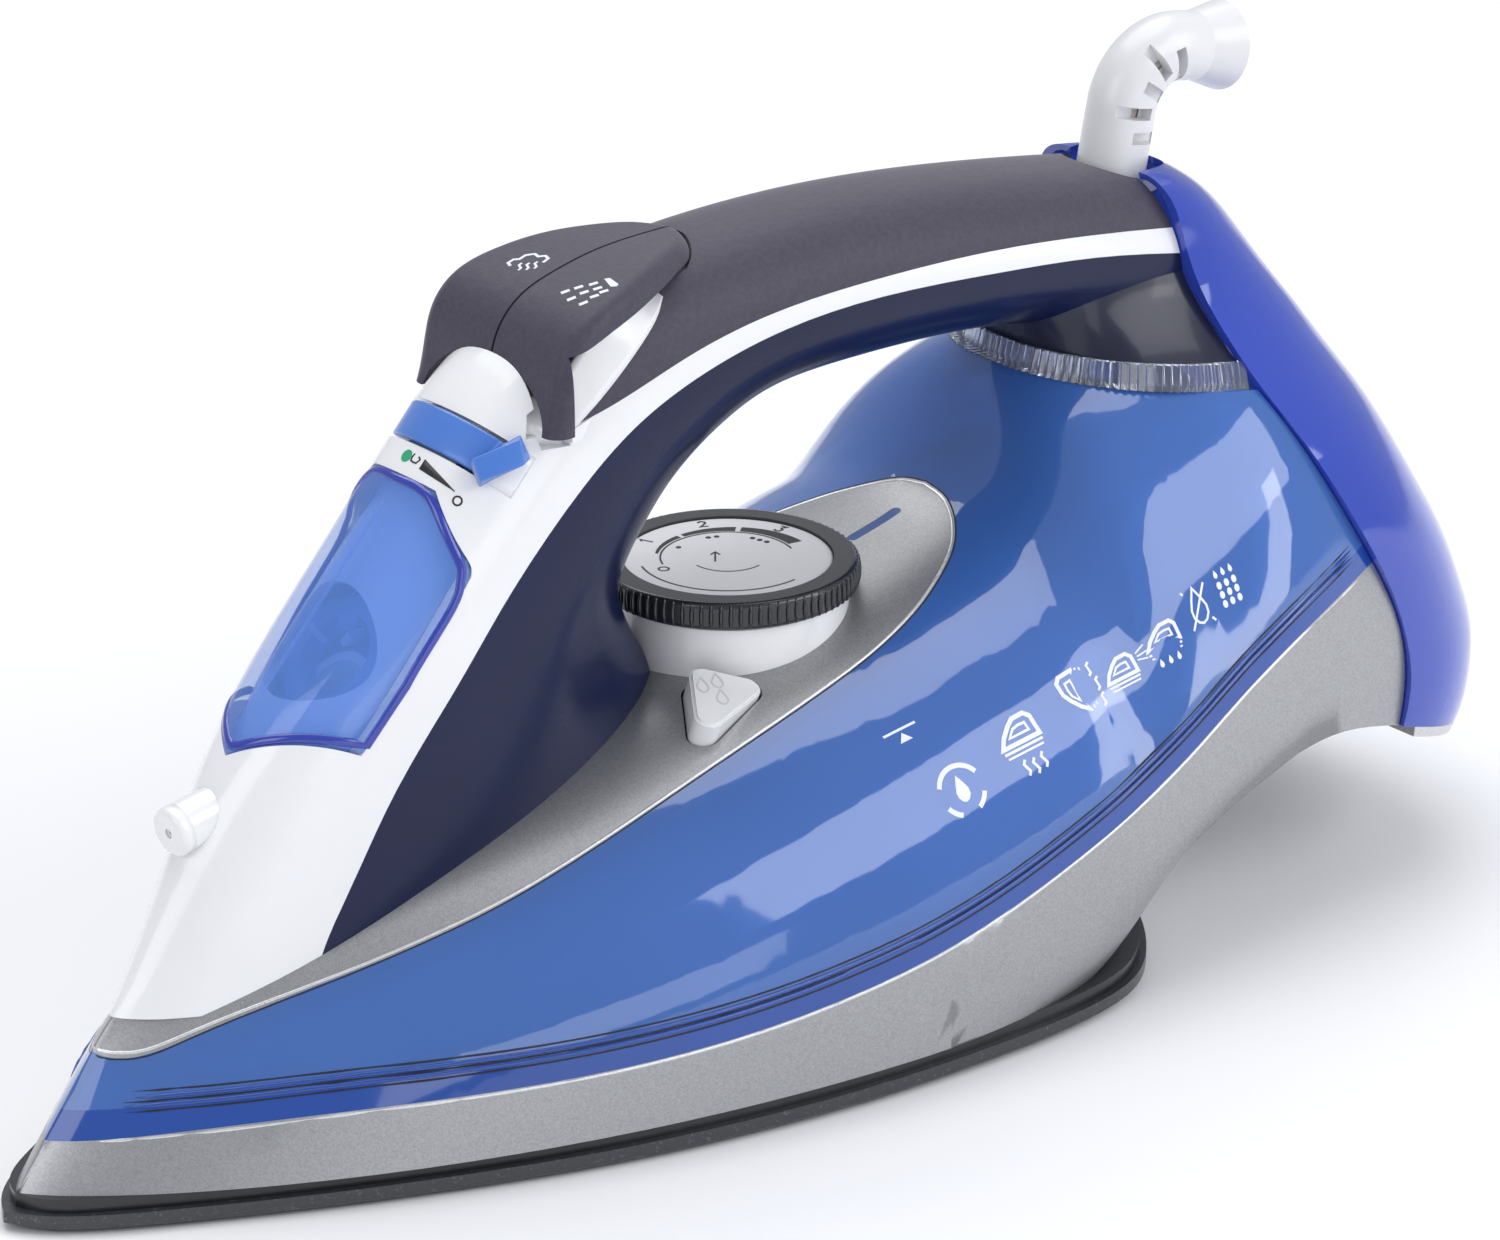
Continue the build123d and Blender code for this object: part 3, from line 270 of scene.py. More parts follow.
def surface_of(*names):
    """The CAD surfaces that a detail is laid on, for ray casts."""
    verts, faces = [], []
    for n in names:
        mesh = nodes[n].data
        first = len(verts)
        verts += [v.co.copy() for v in mesh.vertices]
        faces += [[first + i for i in p.vertices] for p in mesh.polygons]
    return BVHTree.FromPolygons(verts, faces)


def curve_through(points, step):
    """Points at about equal steps, in mm, on a smooth curve through the given ones."""
    pts = [Vector(p) for p in points]
    pts = [2 * pts[0] - pts[1], *pts, 2 * pts[-1] - pts[-2]]
    out = []
    for a, b, c, d in zip(pts, pts[1:], pts[2:], pts[3:]):
        n = max(1, round((c - b).length / step))
        for k in range(n):
            t = k / n
            out.append(0.5 * (2 * b + (c - a) * t + (2 * a - 5 * b + 4 * c - d) * t * t
                              + (3 * b - a - 3 * c + d) * t**3))
    return out + [pts[-2]]


def laid(surface, points, direction, back=0.06):
    """(place, outward normal) where each mm point, moved along a direction, meets a surface."""
    d = Vector(direction).normalized()
    found = []
    for p in points:
        start = Vector(p) * MM - d * back
        place, normal, _, _ = surface.ray_cast(start, d)
        if place is not None:
            if normal.dot(d) > 0:
                normal = -normal
            found.append((place, normal))
    return found


def mesh_piece(name, verts, faces, mat, body, slot_name, smooth=True, turn_out=True):
    """A piece made from points and faces. Closed pieces have their faces turned outwards."""
    mesh = bpy.data.meshes.new(name)
    mesh.from_pydata([tuple(v) for v in verts], [], faces)
    mesh.validate()
    mesh.materials.append(mat)
    mesh.polygons.foreach_set("use_smooth", [smooth] * len(mesh.polygons))
    mesh.update()
    if turn_out:
        bm = bmesh.new()
        bm.from_mesh(mesh)
        bmesh.ops.recalc_face_normals(bm, faces=bm.faces)
        bm.to_mesh(mesh)
        bm.free()
    return placed(name, mesh, body)


def bead(name, runs, width, height, sink, mat, body, slot_name, closed=False):
    """Half-round beads along runs of (place, normal), joined as one piece. Sizes in mm."""
    verts, faces, ring = [], [], 8
    for run in runs:
        n, first = len(run), len(verts)
        for i, (p, nrm) in enumerate(run):
            a = run[(i - 1) % n][0] if closed or i else p
            b = run[(i + 1) % n][0] if closed or i < n - 1 else p
            along = (b - a).normalized()
            side = along.cross(nrm).normalized()
            nrm = side.cross(along).normalized()
            end = 1.0 if closed else min(1.0, 0.15 + 0.45 * min(i, n - 1 - i))
            for k in range(ring):
                q = 2 * math.pi * k / ring
                verts.append(p + side * (width / 2 * MM * math.cos(q) * end)
                             + nrm * ((height * math.sin(q) * end - sink) * MM))
        count = n if closed else n - 1
        for i in range(count):
            j = (i + 1) % n
            for k in range(ring):
                m = (k + 1) % ring
                faces.append([first + i * ring + k, first + i * ring + m,
                              first + j * ring + m, first + j * ring + k])
        if not closed:
            faces.append([first + k for k in range(ring)][::-1])
            faces.append([first + (n - 1) * ring + k for k in range(ring)])
    return mesh_piece(name, verts, faces, mat, body, slot_name)


def clear_plastic(name, colour, transmission, roughness, coat=0.6):
    lighter = tuple(min(1.0, c * 1.12 + 0.004) for c in colour)
    return finished(name, 9.0, [(0.35, colour), (0.7, lighter)], (roughness, 0.02, 160.0, 0.02), handling=25.0,
                    Transmission_Weight=transmission, IOR=1.49, Coat_Weight=coat, Coat_Roughness=0.03)


tank_blue = clear_plastic("tank_blue", (0.085, 0.235, 0.70), 0.50, 0.06)
rim_blue = clear_plastic("rim_blue", (0.006, 0.055, 0.30), 0.0, 0.08)
dress(tank_blue, "water_tank")
dress(rim_blue, "tank_rim")

# the seam between rim and housing, as (x, z) from nose to heel, and where the lines along it end
RIM_LOWER = [(-147, 13.4), (-128, 15.0), (-106.4, 16.3), (-88.9, 16.6), (-66.3, 17), (-44.4, 18.2), (-24, 20.4),
             (-2.1, 24.1), (22.2, 30.4), (48.9, 39.4), (73.9, 51.2), (90.3, 57.8), (106.5, 62.6)]
RIM_START, RIM_END, RIM_STEP, RIM_REACH = -141.0, 105.0, 2.0, 3
side_surface = surface_of("water_tank", "tank_rim", "lower_housing")


def evened(run):
    """A run whose sideways places and normals are averaged over a few neighbours."""
    even = []
    for i, (place, normal) in enumerate(run):
        inside = RIM_REACH <= i < len(run) - RIM_REACH
        near = run[i - RIM_REACH:i + RIM_REACH + 1] if inside else [run[i]]
        mean_y = sum(p.y for p, _ in near) / len(near)
        even.append((Vector((place.x, mean_y, place.z)), sum((n for _, n in near), Vector()).normalized()))
    return even


def side_runs(*rises):
    """Runs along both sides, at some mm above the seam between rim and housing."""
    runs = []
    for rise in rises:
        line = curve_through([(x, 0, z + rise) for x, z in RIM_LOWER], RIM_STEP)
        for s in (-1, 1):
            side = [(p.x, s * FAR_SIDE, p.z) for p in line if RIM_START + rise < p.x < RIM_END - rise * 0.4]
            runs.append(evened(laid(side_surface, side, (0, -s, 0))))
    return runs


bead("rim_ridges", side_runs(5.4, 4.2), 0.85, 0.45, 0.02, rim_blue, "housing", "rim_blue")
shadow_line = finished("joint_shadow", 200.0, [(0.3, (0.004, 0.006, 0.020)), (0.8, (0.008, 0.012, 0.04))],
                       (0.55, 0.1, 600.0, 0.1))
bead("rim_joint", side_runs(6.3, 4.8, 3.4), 0.40, 0.16, 0.02, shadow_line, "housing", "rim_blue")
# a brighter silver than the lacquer for the half-round edge beads: painted highlight on real beads
highlight_edge_paint = metallic_paint("painted_edge_highlight", (0.60, 0.605, 0.61), (0.88, 0.885, 0.89), 0.7, 0.28, tilt=0.1)
bead("housing_edge", side_runs(-0.45), 0.62, 0.14, 0.05, highlight_edge_paint, "housing", "silver_skirt")

# ---- Deck panel edge
# The silver deck drops into the tank top in a thin rolled edge, a bead coloured a brighter silver than the
# lacquer to paint its highlight, with a fine dark gap between lacquer and blue plastic drawn as a bead of painted
# shadow.
DECK_HALF = [(-136.5, 0), (-134.6, 2.9), (-128.1, 7.8), (-111.6, 14.9), (-92.8, 21.4), (-72.8, 26.3),
             (-52.5, 28.6), (-27.2, 29.6), (-9.2, 29.4), (7.3, 27.8), (21.3, 24.2), (33.5, 18.2), (39.7, 12.5),
             (43, 6.5), (44, 0)]
DECK_MIDDLE, ABOVE_ALL = Vector((-20, 0, 0)), 220.0
deck_surface = surface_of("deck_panel", "water_tank")


def deck_line(grow):
    """A closed run on the body round the deck outline, grown by some mm."""
    half = curve_through([(x, y, 0) for x, y in DECK_HALF], 1.6)
    loop = [Vector((p.x, -max(p.y, 0.0), 0)) for p in half]
    loop += [Vector((p.x, max(p.y, 0.0), 0)) for p in reversed(half[1:-1])]
    moved = []
    for i, p in enumerate(loop):
        t = (loop[(i + 1) % len(loop)] - loop[i - 1]).normalized()
        out = Vector((-t.y, t.x, 0))
        if out.dot(p - DECK_MIDDLE) < 0:
            out = -out
        q = p + out * grow
        moved.append((q.x, q.y, ABOVE_ALL))
    return laid(deck_surface, moved, (0, 0, -1))


# the deck's rolled edge in the brighter silver, which paints its highlight
bead("deck_edge", [deck_line(-0.45)], 0.60, 0.16, 0.05, highlight_edge_paint, "housing", "silver_deck", closed=True)
bead("deck_joint", [deck_line(0.12)], 0.36, 0.10, 0.04, shadow_line, "housing", "silver_deck", closed=True)

# ---- Printed marks on the tank
# White pad-printed pictograms near the rim, a row of seven, and a fill line. They are plain
# household signs: iron, steam, spray, drops.


def stroke(points, width, closed=False):
    """A flat band of a given width along points, as (corners, faces)."""
    pts = [Vector((*p, 0)) for p in points]
    n, tiny = len(pts), 1e-6
    verts, faces = [], []
    for i, p in enumerate(pts):
        a = pts[i - 1] if closed or i else p
        b = pts[(i + 1) % n] if closed or i < n - 1 else p
        d1 = (p - a).normalized() if (p - a).length > tiny else (b - p).normalized()
        d2 = (b - p).normalized() if (b - p).length > tiny else d1
        t = (d1 + d2).normalized() if (d1 + d2).length > tiny else d1
        side = Vector((-t.y, t.x, 0))
        reach = width / 2 / max(0.5, side.dot(Vector((-d2.y, d2.x, 0))))
        verts += [p + side * reach, p - side * reach]
    for i in range(n if closed else n - 1):
        j = (i + 1) % n
        faces.append([2 * i, 2 * i + 1, 2 * j + 1, 2 * j])
    return verts, faces


def blot(points):
    """A filled outline."""
    pts = [Vector((*p, 0)) for p in points]
    return pts, [list(t) for t in geometry.tessellate_polygon([pts])]


def arc(cx, cy, r, a0, a1, count=16, squash=1.0):
    return [(cx + r * math.cos(math.radians(a0 + (a1 - a0) * k / count)),
             cy + r * squash * math.sin(math.radians(a0 + (a1 - a0) * k / count))) for k in range(count + 1)]


def moved_by(shape, dx, dy, turn=0.0, scale=1.0):
    verts, faces = shape
    c, s = math.cos(math.radians(turn)), math.sin(math.radians(turn))
    return [Vector((dx + scale * (v.x * c - v.y * s), dy + scale * (v.x * s + v.y * c), 0)) for v in verts], faces


FILM_TOP, FILM_UNDER = 0.05, -0.04          # mm above and below the surface


def film(name, marks, surface, mat, body, slot_name):
    """Printed marks laid on a surface: marks are (place, right, out, shapes), in mm. Closed thin film."""
    verts, faces = [], []
    for place, right, out, shapes in marks:
        out = Vector(out).normalized()
        right = (Vector(right) - out * Vector(right).dot(out)).normalized()
        up = out.cross(right)
        for corners, polys in shapes:
            hits = laid(surface, [Vector(place) + right * v.x + up * v.y for v in corners], -out, back=0.02)
            first, count = len(verts), len(corners)
            if len(hits) < count:
                continue
            for height in (FILM_TOP, FILM_UNDER):
                verts += [at + normal * (height * MM) for at, normal in hits]
            edges = {}
            for p in polys:
                a, b, c = (corners[p[k]] for k in range(3))
                if (b - a).cross(c - a).z < 0:
                    p = p[::-1]
                faces.append([first + k for k in p])
                faces.append([first + count + k for k in p[::-1]])
                edges.update(dict.fromkeys(zip(p, p[1:] + p[:1])))
            for u, w in edges:
                if (w, u) not in edges:
                    faces.append([first + w, first + u, first + count + u, first + count + w])
    return mesh_piece(name, verts, faces, mat, body, slot_name, smooth=False, turn_out=False)


def ink(name, colour):
    worn = tuple(c * 0.93 for c in colour)
    return finished(name, 700.0, [(0.25, worn), (0.55, colour)], (0.45, 0.08, 1600.0, 0.1))


def iron_mark():
    body_line = [(-4.8, -1.4), (-3.4, 0.6), (-1.4, 2.3), (0.4, 3.4), (3.2, 3.5), (4.3, 2.4), (4.6, -1.4)]
    window = [(-2.2, 0.1), (-0.6, 1.5), (1.0, 1.8), (2.5, 1.7), (2.7, 0.1)]
    return [stroke(body_line, 0.95, True), stroke(window, 0.55, True), stroke([(-5.0, -2.5), (4.7, -2.5)], 0.55),
            stroke([(-4.6, -3.5), (4.4, -3.5)], 0.45)]


def puff(x, y, turn=0.0, size=1.0):
    """A wavy wisp of steam."""
    return moved_by(stroke([(0, 0), (0.5, 0.8), (0.1, 1.6), (-0.3, 2.4), (0.3, 3.2)], 0.6), x, y, turn, size)


def dot(radius, squash=1.0):
    return arc(0, 0, radius, 0, 330, 11, squash)


DROP = [(0, 2.6), (0.7, 1.2), (1.15, 0.1), (1.1, -0.8), (0.6, -1.5), (0, -1.75),
        (-0.6, -1.5), (-1.1, -0.8), (-1.15, 0.1), (-0.7, 1.2)]


def drop_outline(x, y, s):
    return [(x + s * a, y + s * b) for a, b in DROP]


def scaled(shapes, s, turn=0.0):
    return [moved_by(sh, 0, 0, turn, s) for sh in shapes]


COLUMNS = (-2.0, 0.0, 2.0)
ROW = {
    "ring": [stroke(arc(0, 0, 4.4, a, b), 0.9) for a, b in ((25, 155), (205, 245), (295, 335))]
    + [blot(drop_outline(0, -0.2, 1.15))],
    "burst": iron_mark() + [puff(-1.6, -8.0), puff(0.6, -8.4), puff(2.8, -8.0)],
    "upright": scaled(iron_mark(), 1.0, 90.0) + [puff(5.0, 1.6, -20), puff(5.4, -2.0, -20), puff(5.0, -5.6, -20)],
    "spray": iron_mark() + [stroke(line, 0.4) for line in ([(5.6, 2.4), (8.4, 3.6)], [(5.8, 1.6), (8.8, 1.9)],
                                                           [(5.6, 0.8), (8.4, 0.2)])],
    "rinse": iron_mark() + [moved_by(blot(drop_outline(0, 0, 0.5)), x, -5.4) for x in (-2.6, 0, 2.6)],
    "no_drip": [stroke(drop_outline(0, -0.4, 1.9), 0.55, True), stroke([(-3.4, -4.4), (3.4, 4.6)], 0.55),
                stroke([(3.4, -4.4), (-3.4, 4.6)], 0.55)],
    "scale": [moved_by(blot(dot(0.62, 1.35)), x, y) for x in COLUMNS for y in (-2.6, -0.6, 1.4)]
    + [moved_by(blot(drop_outline(0, 0, 0.42)), x, 3.7) for x in COLUMNS],
}
# mark, place in mm, the way it faces, and its size
TANK_ROW = [("ring", (7.7, -51.0, 49.1), (-0.12, -0.83, 0.55), 0.98),
            ("burst", (22.0, -49.4, 54.8), (-0.09, -0.80, 0.59), 0.88),
            ("upright", (36.0, -48.3, 58.6), (-0.10, -0.77, 0.63), 0.80),
            ("spray", (46.2, -48.8, 59.6), (-0.12, -0.84, 0.53), 0.72),
            ("rinse", (55.6, -48.9, 63.2), (-0.10, -0.88, 0.43), 0.72),
            ("no_drip", (64.4, -48.3, 66.6), (-0.06, -0.91, 0.42), 0.78),
            ("scale", (71.6, -48.3, 68.2), (-0.04, -0.93, 0.37), 0.85)]
white_ink = ink("white_pad_ink", (0.80, 0.82, 0.88))
tank_surface = surface_of("water_tank")
film("tank_marks", [(at, (1, 0, 0.14), out, scaled(ROW[key], size)) for key, at, out, size in TANK_ROW],
     tank_surface, white_ink, "housing", "tank_blue")
level = [stroke([(-3.4, 1.4), (-1.1, 1.4), (1.1, 1.4), (3.4, 1.4)], 0.45),
         blot([(-1.3, -1.0), (1.3, -1.0), (0, 0.7)])]
film("fill_level_mark", [((2.2, -42.2, 57.6), (1, 0, 0.10), (-0.18, -0.62, 0.76), level)],
     tank_surface, white_ink, "housing", "tank_blue")

# ---- White front cover, side stripe and nozzle
# Glossy white ABS, one moulding from the nose to the stripe along the grip. The spray nozzle
# sits in a moulded bump in it.
white = finished("white_gloss_abs", 14.0, [(0.3, (0.80, 0.80, 0.81)), (0.7, (0.84, 0.84, 0.85))],
                 (0.24, 0.06, 500.0, 0.03), Coat_Weight=0.5, Coat_Roughness=0.06, Subsurface_Weight=0.06,
                 Subsurface_Scale=0.002)
dress(white, "front_cover", "spray_nozzle", "dial_base", "self_clean_button",
      "thermal_fuse", "thermostat", "spray_pump", "steam_pump", "pump_bracket",
      "valve_seat", "spray_tube", "lead_wires")
cover_surface = surface_of("front_cover")
NOZZLE_AT, NOZZLE_AXIS = Vector((-106, 0, 62.6)), Vector((-0.985, 0, -0.17)).normalized()


def lathe(name, origin, axis, profile, steps, mat, body, slot_name):
    """A turned piece: profile of (radius, height) in mm from one pole to the other."""
    axis = Vector(axis).normalized()
    u = axis.orthogonal().normalized()
    w = axis.cross(u)
    turns = [2 * math.pi * k / steps for k in range(steps)]
    round_about = [u * math.cos(t) + w * math.sin(t) for t in turns]
    verts, faces, rows = [], [], []
    for r, h in profile:
        centre = Vector(origin) + axis * h
        spokes = round_about if r > 1e-6 else [Vector()]
        rows.append([len(verts) + k for k in range(len(spokes))])
        verts += [(centre + d * r) * MM for d in spokes]
    for a, b in zip(rows, rows[1:]):
        for k in range(steps):
            m = (k + 1) % steps
            corners = dict.fromkeys([a[k % len(a)], a[m % len(a)], b[m % len(b)], b[k % len(b)]])
            if len(corners) > 2:
                faces.append(list(corners))
    return mesh_piece(name, verts, faces, mat, body, slot_name)


# the tip of the nozzle: a rolled lip round a small cone, with a near-black disc in it that paints the jet hole's
# shade
lathe("nozzle_lip", NOZZLE_AT, NOZZLE_AXIS,
      [(0.0, 13.2), (0.55, 13.2), (0.9, 13.6), (1.7, 13.9), (2.6, 14.05), (3.3, 14.15), (3.9, 14.0),
       (4.25, 13.6), (4.36, 13.0), (4.36, 11.5), (3.4, 11.5), (0.0, 11.5)], 48, white, "housing", "nozzle_white")
# near-black for the jet hole: painted shade on a disc that stands proud in the cone, not a bore
painted_hole_shade = finished("nozzle_hole_shade", 400.0, [(0.2, (0.05, 0.05, 0.05)), (0.8, (0.09, 0.09, 0.10))],
                    (0.5, 0.1, 900.0, 0.1))
lathe("nozzle_jet", NOZZLE_AT, NOZZLE_AXIS, [(0.0, 13.55), (0.42, 13.5), (0.45, 13.3), (0.0, 13.2)], 24,
      painted_hole_shade, "housing", "nozzle_white")

# ---- Handle: glossy navy column and underside, soft-touch grip, rear block
# The column is deep navy ABS with a polished face. The grip is a second shot of warm grey
# thermoplastic rubber with a fine matt grain.
navy = finished("navy_gloss_abs", 12.0, [(0.3, (0.003, 0.006, 0.036)), (0.75, (0.005, 0.010, 0.055))],
                (0.26, 0.05, 300.0, 0.02), Specular_IOR_Level=0.28, Coat_Weight=0.10, Coat_Roughness=0.05)
dress(navy, "handle_lower")
block_navy = finished("block_navy_abs", 12.0, [(0.3, (0.010, 0.012, 0.030)), (0.75, (0.018, 0.020, 0.045))],
                      (0.26, 0.05, 300.0, 0.02), Specular_IOR_Level=0.3, Coat_Weight=0.22, Coat_Roughness=0.08)
dress(block_navy, "handle_block")
grip = finished("soft_touch_grip", 900.0, [(0.25, (0.040, 0.034, 0.056)), (0.75, (0.062, 0.055, 0.084))],
                (0.55, 0.08, 1500.0, 0.5), distance=0.00008, Sheen_Weight=0.25, Sheen_Roughness=0.4,
                Specular_IOR_Level=0.4)
dress(grip, "handle_grip", "spray_button", "steam_button", "spray_plunger", "steam_plunger")


def band_solid(outer, depth):
    """A closed shell from rows of outer mm points, each with its inward direction, and a depth."""
    rows, wide = len(outer), len(outer[0])
    verts = [(p + d * deep) * MM for deep in (0, depth) for row in outer for p, d in row]
    under = rows * wide
    faces = []
    for i in range(rows - 1):
        for j in range(wide - 1):
            a, b, c, d = i * wide + j, i * wide + j + 1, (i + 1) * wide + j + 1, (i + 1) * wide + j
            faces += [[a, b, c, d], [under + d, under + c, under + b, under + a]]
    rim = list(range(wide)) + [i * wide + wide - 1 for i in range(1, rows)]
    rim += [(rows - 1) * wide + j for j in range(wide - 2, -1, -1)] + [i * wide for i in range(rows - 2, 0, -1)]
    faces += [[a, under + a, under + b, b] for a, b in zip(rim, rim[1:] + rim[:1])]
    return verts, faces


# the white cheeks under the caps, which rise from the stripe to where the caps end on the grip
CHEEK_LOW = [(-49, 16.8, 117.6), (-42.2, 16.9, 122.4), (-35.1, 16.1, 127.5), (-29.1, 14.5, 131.8),
             (-25.6, 12.2, 134.6)]
CHEEK_HIGH = [(-49.5, 14.4, 123), (-48, 14.4, 127), (-44, 14.4, 131), (-38.5, 13.6, 133.6), (-32, 11.8, 135),
              (-25.6, 9.8, 135.2)]
CHEEK_ROWS, CHEEK_WIDE, CHEEK_RISE, CHEEK_DEPTH = 24, 6, 0.55, 1.3
for side, s in (("left", -1), ("right", 1)):
    lines = [curve_through([(x, s * y, z) for x, y, z in edge], 0.8) for edge in (CHEEK_LOW, CHEEK_HIGH)]
    inward = Vector((0.15, -s, -0.25)).normalized()
    rows = []
    for k in range(CHEEK_ROWS + 1):
        a, b = (line[round(k / CHEEK_ROWS * (len(line) - 1))] for line in lines)
        rows.append([(a.lerp(b, j / CHEEK_WIDE) - inward * CHEEK_RISE, inward) for j in range(CHEEK_WIDE + 1)])
    mesh_piece("cap_cheek_" + side, *band_solid(rows, CHEEK_DEPTH), white, "housing", "white_gloss")

# a blind screw cap on each side of the rear block
block_surface = surface_of("handle_block")
BLIND_CAP = [(0.0, 0.05), (0.9, 0.06), (1.2, 0.22), (1.9, 0.26), (2.2, 0.12), (2.25, -0.5), (0.0, -0.5)]
for side, s in (("left", -1), ("right", 1)):
    for place, normal in laid(block_surface, [(66.0, s * 90.0, 113.6)], (0, -s, 0), back=0.02):
        lathe("block_cap_" + side, place / MM, normal, BLIND_CAP, 32, block_navy, "housing", "block_navy")

# ---- Clear ring below the rear block
# Clear polystyrene, moulded with upright flutes inside and out, so that it sparkles round the
# block. It falls gently to the heel and ends at the rear cover's seam.
RING_Z, RING_FALL, RING_START, RING_WIDEST = 99.68, 0.125, 58, 92
# rise, front and half width of its four long edges
RING_SECTION = [(0.0, 58.6, 31.4), (4.4, 60.0, 29.6), (4.4, 62.6, 26.8), (0.0, 61.8, 28.2)]
FLUTES, RING_SEAM_X, RING_MIDDLE_X = 64, 91.4, 78
CUT_OUTSIDE, CUT_INSIDE = (0.0, 0.55), (0.9, -0.3)          # mm, by turns, along the ring


def ring_half(z0, front, half_width):
    """The ring's plan outline from front centre to the heel, left side, in a gently falling plane."""
    key = []
    for k in range(9):
        a = math.pi / 2 * k / 8
        key.append((front + (RING_WIDEST - front) * (1 - math.cos(a)), half_width * math.sin(a)**0.92))
    key += [(100, half_width * 0.995), (112, half_width * 0.97)]
    return curve_through([(x, -y, z0 - RING_FALL * (x - RING_START)) for x, y in key], 0.4)


ring_glass = finished("clear_polystyrene", 60.0, [(0.3, (0.80, 0.85, 0.95)), (0.7, (0.90, 0.93, 0.98))],
                      (0.03, 0.02, 300.0, 0.15), Transmission_Weight=0.92, IOR=1.58, Coat_Weight=0.3,
                      Coat_Roughness=0.02)
sides = [[p for p in ring_half(RING_Z + rise, front, half) if p.x < RING_SEAM_X + (0.9 if rise else 0.3)]
         for rise, front, half in RING_SECTION]
verts = []
for k in range(-FLUTES, FLUTES + 1):
    for i, line in enumerate(sides):
        at = abs(k) / FLUTES * (len(line) - 1)
        j = min(int(at), len(line) - 2)
        p = line[j].lerp(line[j + 1], at - j)
        p.y *= 1 if k >= 0 else -1
        inward = Vector((RING_MIDDLE_X - p.x, -p.y, 0)).normalized()
        verts.append((p + inward * (CUT_OUTSIDE if i < 2 else CUT_INSIDE)[k % 2]) * MM)
faces = [[4 * a + i, 4 * a + (i + 1) % 4, 4 * a + 4 + (i + 1) % 4, 4 * a + 4 + i]
         for a in range(2 * FLUTES) for i in range(4)]
faces += [[0, 1, 2, 3], [len(verts) - 1 - i for i in range(4)]]
fluted = mesh_piece("light_ring_fluted", verts, faces, ring_glass, "housing", "clear_ring", smooth=False)
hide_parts("light_ring")

# ---- Rear cover
# One tall moulding in violet-blue clear plastic that closes the heel. It is polished outside and
# has no marks on it.
cover_blue = clear_plastic("cover_violet_blue", (0.055, 0.115, 0.66), 0.50, 0.05, coat=0.5)
dress(cover_blue, "rear_cover")

# ---- Filling lid, its rim and the filler below
# Clear light-blue polycarbonate lid on a hinge pin, with a thicker indigo welded rim. Below it is
# the filler ring with three bayonet tabs.
lid_blue = clear_plastic("lid_light_blue", (0.14, 0.32, 0.85), 0.0, 0.06, coat=0.7)
set_shader(lid_blue.node_tree.nodes["Principled BSDF"], Alpha=0.40)
dress(lid_blue, "fill_lid")
bed_blue = finished("filler_bed_blue", 14.0, [(0.3, (0.40, 0.55, 0.85)), (0.7, (0.46, 0.61, 0.90))],
                    (0.35, 0.05, 500.0, 0.03))
dress(bed_blue, "fill_bed", "fill_funnel")
lid_rim_blue = clear_plastic("lid_rim_indigo", (0.030, 0.060, 0.48), 0.35, 0.08)
filler_blue = clear_plastic("filler_ring_blue", (0.05, 0.13, 0.60), 0.1, 0.15)
dress(filler_blue, "filler_ring")
LID_ALONG, LID_OUT = Vector((0.654, 0, 0.757)).normalized(), Vector((-0.757, 0, 0.654)).normalized()
LID_MIDDLE, LID_ABOVE = Vector((-89.5, 0, 91.3)), 30.0
LID_HALF = [(26.0, 0), (26.0, 5.5), (24.6, 9.2), (19.2, 14.6), (16.5, 15.7), (12.0, 16.2), (0, 16.1),
            (-12.5, 15.8), (-15.6, 14.4), (-20.8, 7.6), (-25.0, 1.6), (-25.6, 0)]
lid_surface = surface_of("fill_lid")


def lid_point(a, b):
    return LID_MIDDLE + LID_ALONG * a + Vector((0, 1, 0)) * b + LID_OUT * LID_ABOVE


half = curve_through([(a, b, 0) for a, b in LID_HALF], 1.0)
outline = [lid_point(p.x, max(p.y, 0)) for p in half]
outline += [lid_point(p.x, -max(p.y, 0)) for p in reversed(half[1:-1])]
bead("lid_rim", [laid(lid_surface, outline, -LID_OUT)], 1.7, 0.42, 0.12, lid_rim_blue, "lid", "lid_blue",
     closed=True)
ridge = [lid_point(-16 + 1.5 * k, 0) for k in range(26)]
bead("lid_ridge", [laid(lid_surface, ridge, -LID_OUT)], 0.9, 0.25, 0.1, lid_blue, "lid", "lid_blue")

# ---- Steam slider and the marks beside it
# A blue sliding band in an arched slot across the column, with a slanted finger lever at its left
# end. Black and green marks on the cover show less and more steam.
slider_blue = finished("slider_blue_abs", 12.0, [(0.3, (0.055, 0.17, 0.56)), (0.7, (0.070, 0.20, 0.62))],
                       (0.28, 0.06, 500.0, 0.04), Coat_Weight=0.4, Coat_Roughness=0.08)
COLUMN_AT, COLUMN_UP = Vector((-52.5, 0, 106.4)), Vector((0.68, 0, 0.733)).normalized()
COLUMN_FRONT = Vector((-COLUMN_UP.z, 0, COLUMN_UP.x))
BAND_IN, BAND_OUT, BAND_HALF, BAND_EASE = 14.9, 17.4, 3.4, 0.35
BAND_FROM, BAND_TO, SLOT_END, SLOT_HALF = -34, 46, 65, 3.9
LEVER_FOOT, LEVER_TIP = (42, -4.0), (56, 4.4)          # degrees round the column and mm along it


def radial(angle):
    """Direction out of the column, some degrees round from its front to its left side."""
    return COLUMN_FRONT * math.cos(math.radians(angle)) + Vector((0, -math.sin(math.radians(angle)), 0))


def round_column(angle, radius, along):
    return COLUMN_AT + radial(angle) * radius + COLUMN_UP * along


def hull_of(corners):
    """Closed block from four low and four high corners, each set in turning order."""
    faces = [[3, 2, 1, 0], [4, 5, 6, 7]] + [[k, (k + 1) % 4, 4 + (k + 1) % 4, 4 + k] for k in range(4)]
    return [c * MM for c in corners], faces


